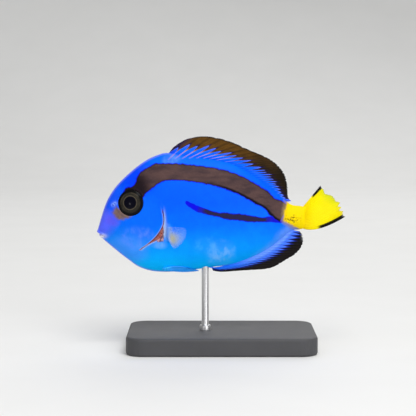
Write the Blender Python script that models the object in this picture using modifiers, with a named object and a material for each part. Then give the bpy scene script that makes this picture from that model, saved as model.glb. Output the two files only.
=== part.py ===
"""Young regal blue tang, a still life-size model held up by a plain display stand.

Sizes are in millimetres and become metres where a mesh is made. X runs from the
snout (-X) to the tail (+X), the left flank faces -Y, and Z runs up from the
underside of the stand. Heights on the fish count from the lowest point of its belly.
"""
import math

import bmesh
import bpy
import numpy as np
from mathutils import Quaternion, Vector

MM = 0.001

# Driving sizes
BELLY_HEIGHT = 8.2
GAP = 0.28
HALF_LENGTH = 13.85
PEDUNCLE_START = 6.95
PEDUNCLE_END = 8.77
MIDLINE_LEVEL = 0.48
FLANK_ROUNDING = 0.6

# Back and belly as seen from the side: along, height
BACK_LINE = (
    (-13.85, 5.05), (-13.62, 5.80), (-13.24, 7.06), (-12.88, 8.07), (-12.40, 9.00),
    (-11.60, 10.10), (-10.20, 11.47), (-8.57, 12.72), (-7.20, 13.38), (-6.00, 13.64),
    (-4.00, 13.35), (-1.00, 13.00), (1.10, 12.50), (3.20, 11.40), (5.40, 9.83),
    (7.10, 8.36), (7.90, 7.84), (8.80, 7.72),
)
BELLY_LINE = (
    (-13.85, 5.05), (-13.74, 4.70), (-13.55, 4.40), (-13.18, 3.96), (-11.39, 2.45),
    (-10.28, 1.60), (-9.30, 0.92), (-8.00, 0.47), (-6.50, 0.32), (-4.60, 0.40),
    (-2.80, 0.60), (-1.40, 0.82), (0.95, 1.12), (2.63, 1.62), (4.30, 2.35),
    (5.64, 3.18), (6.76, 4.08), (7.77, 4.92), (8.80, 5.10),
)
# Half of the body's thickness at its midline: along, half width
GIRTH_LINE = (
    (-13.85, 0.00), (-13.72, 0.34), (-13.40, 0.60), (-12.60, 0.96), (-11.50, 1.36),
    (-10.20, 1.72), (-8.50, 1.98), (-6.80, 2.10), (-4.00, 2.12), (-1.00, 2.00),
    (2.00, 1.72), (4.50, 1.30), (6.50, 0.90), (7.80, 0.64), (8.80, 0.52),
)
# Rear edge of the head from throat to nape: share of the body's height, along
GILL_LINE = (
    (0.00, -10.30), (0.06, -10.12), (0.11, -9.82), (0.19, -9.07), (0.26, -8.10),
    (0.33, -7.19), (0.40, -6.58), (0.48, -6.35), (0.59, -6.45), (0.79, -6.80), (1.00, -7.05),
)

# Eyes, nostrils and mouth
EYE_ALONG = -10.09
EYE_HEIGHT = 8.19
EYE_RADIUS = 1.45
EYE_HALF_DEPTH = 0.66
EYE_STAND_OUT = 0.20
EYE_CLEARANCE = 0.22
NOSTRILS = ((-12.16, 7.76, 0.11), (-11.93, 7.92, 0.08))
MOUTH_FRONT = (-13.85, 4.72)
MOUTH_CORNER = (-13.05, 4.32)
MOUTH_SLIT = 0.10
MOUTH_CUT_WIDTH = 4.0
LIP_RADIUS = 0.14
LIP_OFFSET = 0.16
LIP_CORNER_TAPER = 0.4
LIP_CORNER_SHARE = 0.5
LIP_SINK = 0.10
LIP_STATIONS = 8
COVER_RISE = 0.10
COVER_FADE = 0.70

# Fold-away spine on each side of the tail root
SCALPEL_FRONT = 7.45
SCALPEL_REAR = 8.45
SCALPEL_HEIGHT = 6.22
SCALPEL_RISE = 0.20
SCALPEL_WIDTH = 0.20
SCALPEL_LENGTH_FADE = 0.8

# Fins
MEMBRANE = 0.5
MARGIN_THICKNESS = 0.26
RAY_RIDGE = 0.09
RIDGE_SLOPE = 0.3
RIDGE_HALF_PITCH = 0.27
RIDGE_TIP_FALL = 0.5
THICK_ROOT_REACH = 1 / 3
DORSAL_BASE = (-5.85, 7.35)
DORSAL_MARGIN = (
    (-5.35, 14.30), (-4.60, 14.82), (-3.50, 15.32), (-1.85, 15.50), (-0.15, 15.26),
    (1.50, 14.72), (3.20, 13.92), (4.90, 13.10), (6.00, 12.32), (6.85, 11.28),
    (7.26, 10.10), (7.42, 8.75), (7.80, 8.25),
)
DORSAL_SWEEP = 0.70
DORSAL_SPINES = 9
DORSAL_RAYS = 19
DORSAL_SPINE_PITCH = 2.4
ANAL_BASE = (-1.10, 8.15)
ANAL_MARGIN = (
    (-0.95, 0.42), (0.10, 0.30), (2.60, 0.48), (4.90, 0.64), (6.00, 0.94),
    (7.10, 1.58), (8.25, 2.30), (8.92, 3.10), (9.13, 3.80), (9.05, 4.45),
    (8.75, 4.72),
)
ANAL_SWEEP = 0.60
ANAL_SPINES = 3
ANAL_RAYS = 19
ANAL_SPINE_PITCH = 1.35

# Tail fin: along, sideways (+ is the far side), height
CAUDAL_RAYS = 16
CAUDAL_ROOT = ((9.08, 0.0, 7.62), (9.08, 0.0, 5.18))
CAUDAL_BEND = ((9.95, 0.75, 8.55), (10.70, -0.30, 4.62))
CAUDAL_MARGIN = (
    (11.29, 3.05, 9.83), (11.90, 2.75, 9.05), (12.70, 2.25, 8.60), (13.28, 1.60, 8.22),
    (13.52, 0.55, 7.35), (13.80, -0.55, 6.58),
)
CAUDAL_ROOT_THICKNESS = 0.86
CAUDAL_RIPPLE = 0.14
CAUDAL_RIPPLES = 1.6

# Breast fins, spread outwards, and belly fins, folded back
PECTORAL_RAYS = 16
PECTORAL_ALONG = -5.79
PECTORAL_HEIGHTS = (5.60, 4.20)
PECTORAL_TOP_WAY = (0.44, 0.90, 0.06)
PECTORAL_LOW_WAY = (0.06, 0.86, -0.46)
PECTORAL_LENGTHS = ((0.0, 3.2), (0.1, 3.9), (0.25, 4.3), (0.45, 4.05), (0.75, 2.95), (1.0, 1.6))
PECTORAL_STAND_OFF = GAP + 0.15
PECTORAL_BOW = 0.35
PELVIC_RAYS = 4
PELVIC_ROOT = ((-6.30, 0.42), (-5.85, 1.02))
PELVIC_TIP = ((-2.45, 0.40), (-3.15, 0.92))
PELVIC_STAND_OFF = GAP + 0.375

# Gill filaments in the opening behind the gill cover
GILL_CENTRE = (-6.58, 4.56)
GILL_RADII = (0.28, 0.42, 0.72)
GILL_TILT = math.radians(37)
GILL_CLEARANCE = 0.24
GILL_OPENING = 0.16
GILL_FILAMENTS = 8
GILL_RIDGE = 0.08

# Stand
STAND_BASE = (21.0, 13.0, 2.0)
STAND_CORNER = 2.0
STAND_EDGE = 0.25
ROD_ALONG = -1.82
ROD_RADIUS = 0.4

# Mesh densities
HEAD_LEVELS = 22
BODY_LEVELS = 14
HEAD_STATIONS = 20
TORSO_STATIONS = 30
PEDUNCLE_STATIONS = 7
CURVE_SAMPLES = 400
EYE_MESH = (24, 12)
POCKET_MESH = (16, 10)
NOSTRIL_MESH = (10, 6)
GILL_COLUMNS = 10
DORSAL_ROWS = 4
ANAL_ROWS = 3
CAUDAL_ROWS = 7
PECTORAL_ROWS = 4
PELVIC_ROWS = 3
ROD_SIDES = 20
CORNER_SEGMENTS = 6
RIM_SEGMENTS = 2
NORMAL_STEP = 0.4
SMOOTH_ANGLE = math.radians(40)
RIM_ANGLE = math.radians(60)

# Colours: red, green, blue
BLUE = (0.01, 0.11, 0.90)
BROWN = (0.08, 0.04, 0.02)
YELLOW = (0.90, 0.70, 0.01)
PALE = (0.45, 0.55, 0.62)
BLACK = (0.01, 0.01, 0.015)
RED = (0.45, 0.12, 0.10)
GREY = (0.05, 0.05, 0.055)
STEEL = (0.55, 0.55, 0.56)


def smooth_curve(points, count=CURVE_SAMPLES):
    """Points along the Catmull-Rom curve that passes through the given points."""
    knots = np.asarray(points, dtype=float)
    first = 2 * knots[0] - knots[1]
    last = 2 * knots[-1] - knots[-2]
    knots = np.vstack([first, knots, last])
    spans = len(knots) - 3
    places = np.linspace(0, spans, count)
    index = np.minimum(places.astype(int), spans - 1)
    t = (places - index)[:, None]
    a, b, c, d = (knots[index + step] for step in range(4))
    return 0.5 * (2 * b + (c - a) * t + (2 * a - 5 * b + 4 * c - d) * t ** 2
                  + (3 * b - a - 3 * c + d) * t ** 3)


def along_curve(curve, share):
    """Point at a share of a sampled curve's length."""
    steps = np.linalg.norm(np.diff(curve, axis=0), axis=1)
    lengths = np.concatenate([[0], np.cumsum(steps)])
    place = share * lengths[-1]
    return np.array([np.interp(place, lengths, curve[:, axis]) for axis in range(curve.shape[1])])


BACK = smooth_curve(BACK_LINE)
BELLY = smooth_curve(BELLY_LINE)
GIRTH = smooth_curve(GIRTH_LINE)
GILL = smooth_curve(GILL_LINE)


def back_height(along):
    """Height of the body's upper edge."""
    return np.interp(along, BACK[:, 0], BACK[:, 1])


def belly_height(along):
    """Height of the body's lower edge."""
    return np.interp(along, BELLY[:, 0], BELLY[:, 1])


def snout_along(height):
    """Foremost place of the body at a height on the snout."""
    profile = BELLY if height < BACK_LINE[0][1] else BACK
    front = profile[profile[:, 0] < MOUTH_CORNER[0] + 1.0]
    order = np.argsort(front[:, 1])
    return np.interp(height, front[order, 1], front[order, 0])


def gill_edge(share):
    """Place along the body of the head's rear edge at a share of the body's height."""
    return np.interp(share, GILL[:, 0], GILL[:, 1])


def bell(distance, width):
    """Smooth bump of height one that fades over the given width."""
    return math.exp(-(distance / width) ** 2)


def cover_relief(along, share):
    """Rise of the gill cover towards its free edge."""
    ahead = gill_edge(share) - along
    return COVER_RISE * bell(ahead, COVER_FADE) if ahead > -GAP / 2 else 0.0


def scalpel_relief(along, height):
    """Raised sheath of the fold-away spine beside the tail root."""
    middle = (SCALPEL_FRONT + SCALPEL_REAR) / 2
    reach = (SCALPEL_REAR - SCALPEL_FRONT) / 2 * SCALPEL_LENGTH_FADE
    across = bell(height - SCALPEL_HEIGHT, SCALPEL_WIDTH)
    return SCALPEL_RISE * bell(along - middle, reach) * across


def half_width(along, height):
    """Distance of the flank from the middle plane."""
    low = belly_height(along)
    high = back_height(along)
    share = min(max((height - low) / max(high - low, 1e-6), 0.0), 1.0)
    reach = share - MIDLINE_LEVEL
    reach /= (1 - MIDLINE_LEVEL) if reach > 0 else MIDLINE_LEVEL
    side = max(1 - reach * reach, 0.0)
    girth = np.interp(along, GIRTH[:, 0], GIRTH[:, 1])
    relief = scalpel_relief(along, height) + cover_relief(along, share)
    return girth * side ** FLANK_ROUNDING + relief * side


def flank_normal(side, along, height):
    """Direction in which the skin faces on one flank."""
    step = NORMAL_STEP
    forward = half_width(along + step, height) - half_width(along - step, height)
    upward = half_width(along, height + step) - half_width(along, height - step)
    return Vector((-forward, side * 2 * step, -upward)).normalized()


def world(along, sideways, height):
    """Point in metres from sizes that count from the belly."""
    return Vector((along * MM, sideways * MM, (height + BELLY_HEIGHT) * MM))


def material(name, colour, roughness=0.4, metallic=0.0):
    """Principled material of one colour."""
    result = bpy.data.materials.new(name)
    result.use_nodes = True
    shader = result.node_tree.nodes["Principled BSDF"]
    shader.inputs["Base Color"].default_value = (*colour, 1.0)
    shader.inputs["Roughness"].default_value = roughness
    shader.inputs["Metallic"].default_value = metallic
    return result


def place(obj, collection):
    """Move an object into one collection."""
    for other in list(obj.users_collection):
        other.objects.unlink(obj)
    collection.objects.link(obj)
    return obj


def dress(obj, colour, roughness=0.4, metallic=0.0):
    """Give a part its own material and smooth shading."""
    obj.data.materials.clear()
    obj.data.materials.append(material(obj.name + "_finish", colour, roughness, metallic))
    obj.data.shade_smooth()
    obj.data.set_sharp_from_angle(angle=SMOOTH_ANGLE)


def mesh_part(name, vertices, faces, collection):
    """Closed mesh object whose faces point outwards."""
    mesh = bpy.data.meshes.new(name)
    mesh.from_pydata([tuple(vertex) for vertex in vertices], [], faces)
    shape = bmesh.new()
    shape.from_mesh(mesh)
    bmesh.ops.recalc_face_normals(shape, faces=shape.faces)
    shape.to_mesh(mesh)
    shape.free()
    obj = bpy.data.objects.new(name, mesh)
    collection.objects.link(obj)
    return obj


def strip(first, second):
    """Triangles between two closed loops of the same number of points."""
    faces = []
    for here in range(len(first)):
        after = (here + 1) % len(first)
        faces.append((first[here], first[after], second[after]))
        faces.append((first[here], second[after], second[here]))
    return faces


def cap(loop):
    """Triangles that close a loop whose halves face each other across the middle plane."""
    count = len(loop)
    half = count // 2
    faces = [(loop[0], loop[1], loop[count - 1]), (loop[half - 1], loop[half], loop[half + 1])]
    for level in range(1, half - 1):
        near, near_up = loop[level], loop[level + 1]
        far, far_up = loop[count - level], loop[count - level - 1]
        faces.append((near, near_up, far_up))
        faces.append((near, far_up, far))
    return faces


def body_loop(along_of_share, levels=BODY_LEVELS):
    """Loop round the body: up the near flank and down the far one."""
    near = []
    for level in range(levels + 1):
        share = 0.5 - 0.5 * math.cos(math.pi * level / levels)
        along = along_of_share(share)
        low = belly_height(along)
        height = low + share * (back_height(along) - low)
        side = 0.0 if level in (0, levels) else half_width(along, height)
        near.append((along, -side, height))
    far = [(along, -side, height) for along, side, height in near[-2:0:-1]]
    return [world(*point) for point in near + far]


def body_length(name, loops, collection, tip=None):
    """Closed length of the body through loops, from a tip point or a flat end."""
    vertices = [point for loop in loops for point in loop]
    size = len(loops[0])
    rings = [list(range(start, start + size)) for start in range(0, len(vertices), size)]
    faces = cap(rings[-1])
    for first, second in zip(rings, rings[1:]):
        faces += strip(first, second)
    if tip is None:
        faces += cap(rings[0])
    else:
        vertices.append(tip)
        apex = len(vertices) - 1
        faces += [(apex, rings[0][here], rings[0][(here + 1) % size]) for here in range(size)]
    return mesh_part(name, vertices, faces, collection)


def make_head(collection):
    """Head from the snout tip to the rear edge of the gill covers."""
    loops = []
    for station in range(1, HEAD_STATIONS + 1):
        reach = 1 - math.cos(0.5 * math.pi * station / HEAD_STATIONS)

        def along_of_share(share, reach=reach):
            return -HALF_LENGTH + reach * (gill_edge(share) + HALF_LENGTH)

        loops.append(body_loop(along_of_share, HEAD_LEVELS))
    tip = world(-HALF_LENGTH, 0.0, BACK_LINE[0][1])
    return body_length("head", loops, collection, tip)


def make_torso(collection):
    """Torso from the gill opening to the tail root."""
    loops = []
    for station in range(TORSO_STATIONS + 1):
        reach = station / TORSO_STATIONS
        rear = PEDUNCLE_START - GAP

        def along_of_share(share, reach=reach, rear=rear):
            front = gill_edge(share) + GAP
            return front + reach * (rear - front)

        loops.append(body_loop(along_of_share))
    return body_length("torso", loops, collection)


def make_peduncle(collection):
    """Tail root with the sheath of its spine on each side."""
    loops = []
    for along in np.linspace(PEDUNCLE_START, PEDUNCLE_END, PEDUNCLE_STATIONS + 1):
        loops.append(body_loop(lambda share, along=along: along))
    return body_length("tail_peduncle", loops, collection)


def ball(name, centre, radii, density, collection, turn=Quaternion()):
    """Ellipsoid at a place given in millimetres, with a turn about its centre."""
    segments, rings = density
    bpy.ops.mesh.primitive_uv_sphere_add(segments=segments, ring_count=rings, radius=1.0)
    obj = bpy.context.object
    obj.name = name
    obj.data.name = name
    obj.scale = [radius * MM for radius in radii]
    obj.rotation_mode = "QUATERNION"
    obj.rotation_quaternion = turn
    obj.location = world(*centre)
    bpy.ops.object.transform_apply(location=False, rotation=False, scale=True)
    return place(obj, collection)


def cut(obj, cutter):
    """Subtract a cutter from a part."""
    cutter.hide_render = True
    cutter.display_type = "WIRE"
    boolean = obj.modifiers.new("cut_" + cutter.name, "BOOLEAN")
    boolean.operation = "DIFFERENCE"
    boolean.solver = "EXACT"
    boolean.object = cutter


def make_eye(side, side_name, head, collection, cutters):
    """Eye in its socket, standing a little out of the head."""
    skin = Vector((EYE_ALONG, side * half_width(EYE_ALONG, EYE_HEIGHT), EYE_HEIGHT))
    normal = flank_normal(side, EYE_ALONG, EYE_HEIGHT)
    centre = skin + normal * (EYE_STAND_OUT - EYE_HALF_DEPTH)
    radii = (EYE_RADIUS, EYE_HALF_DEPTH, EYE_RADIUS)
    turn = Vector((0.0, side, 0.0)).rotation_difference(normal)
    eye = ball("eye_" + side_name, centre, radii, EYE_MESH, collection, turn)
    room = [radius + EYE_CLEARANCE for radius in radii]
    cut(head, ball("socket_" + side_name, centre, room, EYE_MESH, cutters, turn))
    return eye


def cut_nostrils(side, side_name, head, cutters):
    """Pair of nostrils in front of the eye."""
    for number, (along, height, radius) in enumerate(NOSTRILS):
        centre = (along, side * half_width(along, height), height)
        name = f"nostril_{side_name}_{number}"
        cut(head, ball(name, centre, (radius,) * 3, NOSTRIL_MESH, cutters))


def make_lip(name, offset, collection):
    """Closed roll that runs round the snout beside the line of the mouth."""
    corner_height = MOUTH_CORNER[1] + offset * LIP_CORNER_SHARE
    corner_width = half_width(MOUTH_CORNER[0], corner_height)
    front_height = MOUTH_FRONT[1] + offset
    reach = MOUTH_CORNER[0] - snout_along(front_height) - LIP_SINK
    path = []
    for turn in np.linspace(-0.5 * math.pi, 0.5 * math.pi, 2 * LIP_STATIONS + 1):
        forward = math.cos(turn)
        height = corner_height + (front_height - corner_height) * forward
        path.append((MOUTH_CORNER[0] - reach * forward, corner_width * math.sin(turn), height,
                     LIP_CORNER_TAPER + (1 - LIP_CORNER_TAPER) * forward))
    curve = bpy.data.curves.new(name, "CURVE")
    curve.dimensions = "3D"
    curve.bevel_depth = LIP_RADIUS * MM
    curve.bevel_resolution = 1
    curve.use_fill_caps = True
    spline = curve.splines.new("POLY")
    spline.points.add(len(path) - 1)
    for point, (along, sideways, height, thickness) in zip(spline.points, path):
        point.co = (*world(along, sideways, height), 1.0)
        point.radius = thickness
    guide = bpy.data.objects.new(name + "_curve", curve)
    collection.objects.link(guide)
    bpy.context.view_layer.update()
    mesh = bpy.data.meshes.new_from_object(
        guide.evaluated_get(bpy.context.evaluated_depsgraph_get()))
    bpy.data.objects.remove(guide)
    shape = bmesh.new()
    shape.from_mesh(mesh)
    bmesh.ops.remove_doubles(shape, verts=shape.verts, dist=0.001 * MM)
    bmesh.ops.recalc_face_normals(shape, faces=shape.faces)
    shape.to_mesh(mesh)
    shape.free()
    lip = bpy.data.objects.new(name, mesh)
    collection.objects.link(lip)
    return lip


def join(obj, collection):
    """Fuse a collection of closed pieces to a part, and remove the pieces."""
    union = obj.modifiers.new("fuse", "BOOLEAN")
    union.operation = "UNION"
    union.solver = "EXACT"
    union.operand_type = "COLLECTION"
    union.collection = collection
    bpy.context.view_layer.update()
    fused = bpy.data.meshes.new_from_object(
        obj.evaluated_get(bpy.context.evaluated_depsgraph_get()))
    obj.modifiers.remove(union)
    obj.data = fused
    for piece in list(collection.objects):
        bpy.data.objects.remove(piece)
    bpy.data.collections.remove(collection)


def make_lips(head):
    """Upper and lower lip, fused to the snout."""
    lips = bpy.data.collections.new("lips")
    bpy.context.scene.collection.children.link(lips)
    make_lip("lip_upper", LIP_OFFSET, lips)
    make_lip("lip_lower", -LIP_OFFSET, lips)
    join(head, lips)


def cut_mouth(head, cutters):
    """Slit of the mouth, right through the snout."""
    run = MOUTH_CORNER[0] - MOUTH_FRONT[0]
    drop = MOUTH_FRONT[1] - MOUTH_CORNER[1]
    bpy.ops.mesh.primitive_cube_add(size=1.0)
    slit = bpy.context.object
    slit.name = "mouth_slit"
    length = math.hypot(run, drop)
    slit.scale = (2 * length * MM, MOUTH_CUT_WIDTH * MM, MOUTH_SLIT * MM)
    slit.rotation_euler = (0.0, math.atan2(drop, run), 0.0)
    slit.location = world(MOUTH_FRONT[0], 0.0, MOUTH_FRONT[1])
    bpy.ops.object.transform_apply(location=False, rotation=False, scale=True)
    cut(head, place(slit, cutters))


def make_gills(side, side_name, torso, collection, cutters):
    """Red pad of gill filaments behind the gill cover, in a pocket of the torso."""
    along, height = GILL_CENTRE
    across, depth, length = GILL_RADII
    centre = Vector((along, side * (half_width(along, height) - depth), height))
    turn = Quaternion((0.0, 1.0, 0.0), GILL_TILT)
    rows = 2 * GILL_FILAMENTS
    columns = GILL_COLUMNS
    vertices = []
    for row in range(1, rows):
        polar = math.pi * row / rows
        ridge = GILL_RIDGE * (row % 2)
        out = math.sin(polar)
        for column in range(columns):
            angle = 2 * math.pi * column / columns
            local = Vector(((across + ridge) * out * math.cos(angle),
                            (depth + ridge) * out * math.sin(angle),
                            length * math.cos(polar)))
            vertices.append(world(*(centre + turn @ local)))
    rings = [list(range(start, start + columns)) for start in range(0, len(vertices), columns)]
    faces = []
    for first, second in zip(rings, rings[1:]):
        faces += strip(first, second)
    for ring, end in ((rings[0], length), (rings[-1], -length)):
        vertices.append(world(*(centre + turn @ Vector((0.0, 0.0, end)))))
        apex = len(vertices) - 1
        faces += [(apex, ring[here], ring[(here + 1) % columns]) for here in range(columns)]
    gills = mesh_part("gills_" + side_name, vertices, faces, collection)
    room = [radius + GILL_CLEARANCE for radius in GILL_RADII]
    room[0] += GILL_OPENING
    centre -= turn @ Vector((GILL_OPENING, 0.0, 0.0))
    cut(torso, ball("gill_pocket_" + side_name, centre, room, POCKET_MESH, cutters, turn))
    return gills


def ray_shares(pitches):
    """Places of the spines and rays along a fin's root, from their relative pitches."""
    ends = np.concatenate([[0], np.cumsum(pitches)])
    return [((start + end) / 2 / ends[-1], (end - start) / ends[-1])
            for start, end in zip(ends, ends[1:])]


def fin_columns(pitches):
    """Columns of a fin's grid: share of the root and height of the ridge there."""
    columns = [(0.0, 0.0)]
    for centre, pitch in ray_shares(pitches):
        flank = RIDGE_HALF_PITCH * pitch
        columns += [(centre - flank, 0.0), (centre, 1.0), (centre + flank, 0.0)]
    return columns + [(1.0, 0.0)]


def fin_normals(middle):
    """Unit normals of a grid of points, by differences along both ways."""
    across = np.gradient(middle, axis=0)
    outwards = np.gradient(middle, axis=1)
    normals = np.cross(across, outwards)
    return normals / np.linalg.norm(normals, axis=2, keepdims=True)


def make_fin(name, surface, pitches, rows, collection, root=MEMBRANE):
    """Closed fin round a middle surface, with a ridge along each ray on both faces."""
    columns = fin_columns(pitches)
    shares = np.linspace(0, 1, rows + 1)
    middle = np.array([[surface(across, out) for out in shares] for across, _ in columns])
    normals = fin_normals(middle)
    half = np.zeros(middle.shape[:2])
    last = len(columns) - 1
    for column, (_, ridge) in enumerate(columns):
        for row, out in enumerate(shares):
            ends = middle[max(column - 2, 0), row], middle[min(column + 2, last), row]
            room = np.linalg.norm(ends[1] - ends[0]) * RIDGE_SLOPE
            plain = MEMBRANE + (root - MEMBRANE) * max(1 - out / THICK_ROOT_REACH, 0.0)
            if row == rows or column in (0, last):
                plain = MARGIN_THICKNESS
            rise = min(RAY_RIDGE * (1 - RIDGE_TIP_FALL * out), room)
            half[column, row] = plain / 2 + ridge * rise
    faces_of = [middle + sign * normals * half[:, :, None] for sign in (-1, 1)]
    size = middle.shape[0] * middle.shape[1]
    vertices = [world(*point) for sheet in faces_of for point in sheet.reshape(-1, 3)]
    stride = middle.shape[1]
    faces = []
    for column in range(len(columns) - 1):
        for row in range(rows):
            a = column * stride + row
            b, c, d = a + stride, a + stride + 1, a + 1
            for corners in ((a, b, c), (a, c, d)):
                faces.append(corners)
                faces.append(tuple(corner + size for corner in reversed(corners)))
    edge = [row for row in range(stride)]
    edge += [column * stride + rows for column in range(1, len(columns))]
    edge += [(len(columns) - 1) * stride + row for row in range(rows - 1, -1, -1)]
    edge += [column * stride for column in range(len(columns) - 2, 0, -1)]
    faces += strip(edge, [corner + size for corner in edge])
    return mesh_part(name, vertices, faces, collection)


def dorsal_surface(across, out):
    """Middle of the fin on the back, whose rays sweep to the rear."""
    along = DORSAL_BASE[0] + across * (DORSAL_BASE[1] - DORSAL_BASE[0])
    root = np.array([along, back_height(along) + GAP])
    margin = along_curve(smooth_curve(DORSAL_MARGIN), across ** DORSAL_SWEEP)
    along, height = root + out * (margin - root)
    return along, 0.0, height


def anal_surface(across, out):
    """Middle of the fin behind the vent, whose rays sweep to the rear."""
    along = ANAL_BASE[0] + across * (ANAL_BASE[1] - ANAL_BASE[0])
    root = np.array([along, belly_height(along) - GAP])
    margin = along_curve(smooth_curve(ANAL_MARGIN), across ** ANAL_SWEEP)
    along, height = root + out * (margin - root)
    return along, 0.0, height


def caudal_surface(across, out):
    """Middle of the tail fin, its upper lobe swung to the far side."""
    root, bend = (np.array(ends[0]) * (1 - across) + np.array(ends[1]) * across
                  for ends in (CAUDAL_ROOT, CAUDAL_BEND))
    tip = along_curve(smooth_curve(CAUDAL_MARGIN), across)
    ripple = CAUDAL_RIPPLE * math.sin(2 * math.pi * CAUDAL_RIPPLES * across) * out ** 2
    middle = root * (1 - out) ** 2 + bend * 2 * out * (1 - out) + tip * out ** 2
    return middle + np.array([0.0, ripple, 0.0])


def pectoral_surface(side):
    """Middle of a breast fin, spread out from the flank."""
    top_way, low_way = Vector(PECTORAL_TOP_WAY), Vector(PECTORAL_LOW_WAY)
    lengths = smooth_curve(PECTORAL_LENGTHS)

    def surface(across, out):
        height = PECTORAL_HEIGHTS[0] + across * (PECTORAL_HEIGHTS[1] - PECTORAL_HEIGHTS[0])
        skin = half_width(PECTORAL_ALONG, height) + PECTORAL_STAND_OFF
        way = top_way.lerp(low_way, across).normalized()
        length = np.interp(across, lengths[:, 0], lengths[:, 1]) * out
        bow = PECTORAL_BOW * out * out
        return (PECTORAL_ALONG + way.x * length + bow, side * (skin + way.y * length),
                height + way.z * length)

    return surface


def pelvic_surface(side):
    """Middle of a belly fin, a flat blade folded back against the keel of the belly."""
    corners = []
    for along, height in PELVIC_ROOT + PELVIC_TIP:
        skin = half_width(along, max(height, belly_height(along)))
        corners.append(np.array([along, side * (skin + PELVIC_STAND_OFF), height]))

    def surface(across, out):
        root = corners[0] * (1 - across) + corners[1] * across
        tip = corners[2] * (1 - across) + corners[3] * across
        return root + out * (tip - root)

    return surface


def make_stand(collection):
    """Flat base and a short rod up to the belly."""
    length, width, thickness = STAND_BASE
    bpy.ops.mesh.primitive_cube_add(size=1.0)
    base = bpy.context.object
    base.name = "stand_base"
    base.scale = (length * MM, width * MM, thickness * MM)
    base.location = (0.0, 0.0, thickness / 2 * MM)
    bpy.ops.object.transform_apply(location=False, rotation=False, scale=True)
    weight = base.data.attributes.new("bevel_weight_edge", "FLOAT", "EDGE")
    for edge in base.data.edges:
        ends = [base.data.vertices[number].co for number in edge.vertices]
        upright = abs(ends[0].z - ends[1].z) > 0.5 * thickness * MM
        weight.data[edge.index].value = 1.0 if upright else 0.0
    corner = base.modifiers.new("corners", "BEVEL")
    corner.width = STAND_CORNER * MM
    corner.segments = CORNER_SEGMENTS
    corner.limit_method = "WEIGHT"
    rim = base.modifiers.new("rim", "BEVEL")
    rim.width = STAND_EDGE * MM
    rim.segments = RIM_SEGMENTS
    rim.limit_method = "ANGLE"
    rim.angle_limit = RIM_ANGLE
    place(base, collection)

    foot = thickness + GAP
    head = BELLY_HEIGHT + belly_height(ROD_ALONG) - GAP
    bpy.ops.mesh.primitive_cylinder_add(
        vertices=ROD_SIDES, radius=ROD_RADIUS * MM, depth=(head - foot) * MM,
        location=(ROD_ALONG * MM, 0.0, (head + foot) / 2 * MM))
    rod = bpy.context.object
    rod.name = "stand_rod"
    place(rod, collection)
    return base, rod


def main():
    """Build every part of the fish and its stand."""
    for obj in list(bpy.data.objects):
        bpy.data.objects.remove(obj, do_unlink=True)
    parts = bpy.data.collections.new("regal_blue_tang")
    cutters = bpy.data.collections.new("cutters")
    for collection in (parts, cutters):
        bpy.context.scene.collection.children.link(collection)

    head = make_head(parts)
    make_lips(head)
    torso = make_torso(parts)
    for skin_part in (head, torso):
        dress(skin_part, BLUE)
    dress(make_peduncle(parts), YELLOW)

    for side, side_name in ((-1, "left"), (1, "right")):
        dress(make_eye(side, side_name, head, parts, cutters), BLACK, 0.1)
        cut_nostrils(side, side_name, head, cutters)
        dress(make_gills(side, side_name, torso, parts, cutters), RED)
        pectoral = make_fin("pectoral_fin_" + side_name, pectoral_surface(side),
                            [1.0] * PECTORAL_RAYS, PECTORAL_ROWS, parts)
        dress(pectoral, PALE)
        pelvic = make_fin("pelvic_fin_" + side_name, pelvic_surface(side),
                          [1.0] * PELVIC_RAYS, PELVIC_ROWS, parts)
        dress(pelvic, BLUE)
    cut_mouth(head, cutters)

    dorsal_pitches = [DORSAL_SPINE_PITCH] * DORSAL_SPINES + [1.0] * DORSAL_RAYS
    dress(make_fin("dorsal_fin", dorsal_surface, dorsal_pitches, DORSAL_ROWS, parts), BROWN)
    anal_pitches = [ANAL_SPINE_PITCH] * ANAL_SPINES + [1.0] * ANAL_RAYS
    dress(make_fin("anal_fin", anal_surface, anal_pitches, ANAL_ROWS, parts), BLUE)
    dress(make_fin("caudal_fin", caudal_surface, [1.0] * CAUDAL_RAYS, CAUDAL_ROWS, parts,
                   CAUDAL_ROOT_THICKNESS), YELLOW)

    base, rod = make_stand(parts)
    dress(base, GREY, 0.5)
    dress(rod, STEEL, 0.3, 1.0)


main()
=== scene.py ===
"""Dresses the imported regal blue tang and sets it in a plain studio.

Sizes are in millimetres and become metres where a mesh is made. X runs from the snout
to the tail, the left flank faces -Y, and heights on the fish count from the lowest
point of its belly, which lies BELLY_HEIGHT above the underside of the stand.
"""
from __future__ import annotations

import logging
import math
from dataclasses import dataclass
from enum import Enum
from functools import cached_property
from typing import Any, Sequence

import bpy
import numpy as np
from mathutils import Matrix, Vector

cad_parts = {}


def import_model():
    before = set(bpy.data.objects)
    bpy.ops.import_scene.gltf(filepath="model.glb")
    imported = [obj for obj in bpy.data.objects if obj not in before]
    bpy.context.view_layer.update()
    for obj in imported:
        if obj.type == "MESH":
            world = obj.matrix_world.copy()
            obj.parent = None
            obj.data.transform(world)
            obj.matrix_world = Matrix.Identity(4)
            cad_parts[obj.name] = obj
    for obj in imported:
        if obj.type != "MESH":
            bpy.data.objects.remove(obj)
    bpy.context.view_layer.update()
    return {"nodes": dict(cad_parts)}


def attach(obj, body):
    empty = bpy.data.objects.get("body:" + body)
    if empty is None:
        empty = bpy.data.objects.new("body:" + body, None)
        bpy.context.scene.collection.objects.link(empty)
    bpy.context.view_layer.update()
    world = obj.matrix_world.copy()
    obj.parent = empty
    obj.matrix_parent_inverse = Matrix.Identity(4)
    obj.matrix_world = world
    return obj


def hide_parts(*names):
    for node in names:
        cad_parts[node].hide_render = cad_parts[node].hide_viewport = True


LOG = logging.getLogger("regal_blue_tang")

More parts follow.
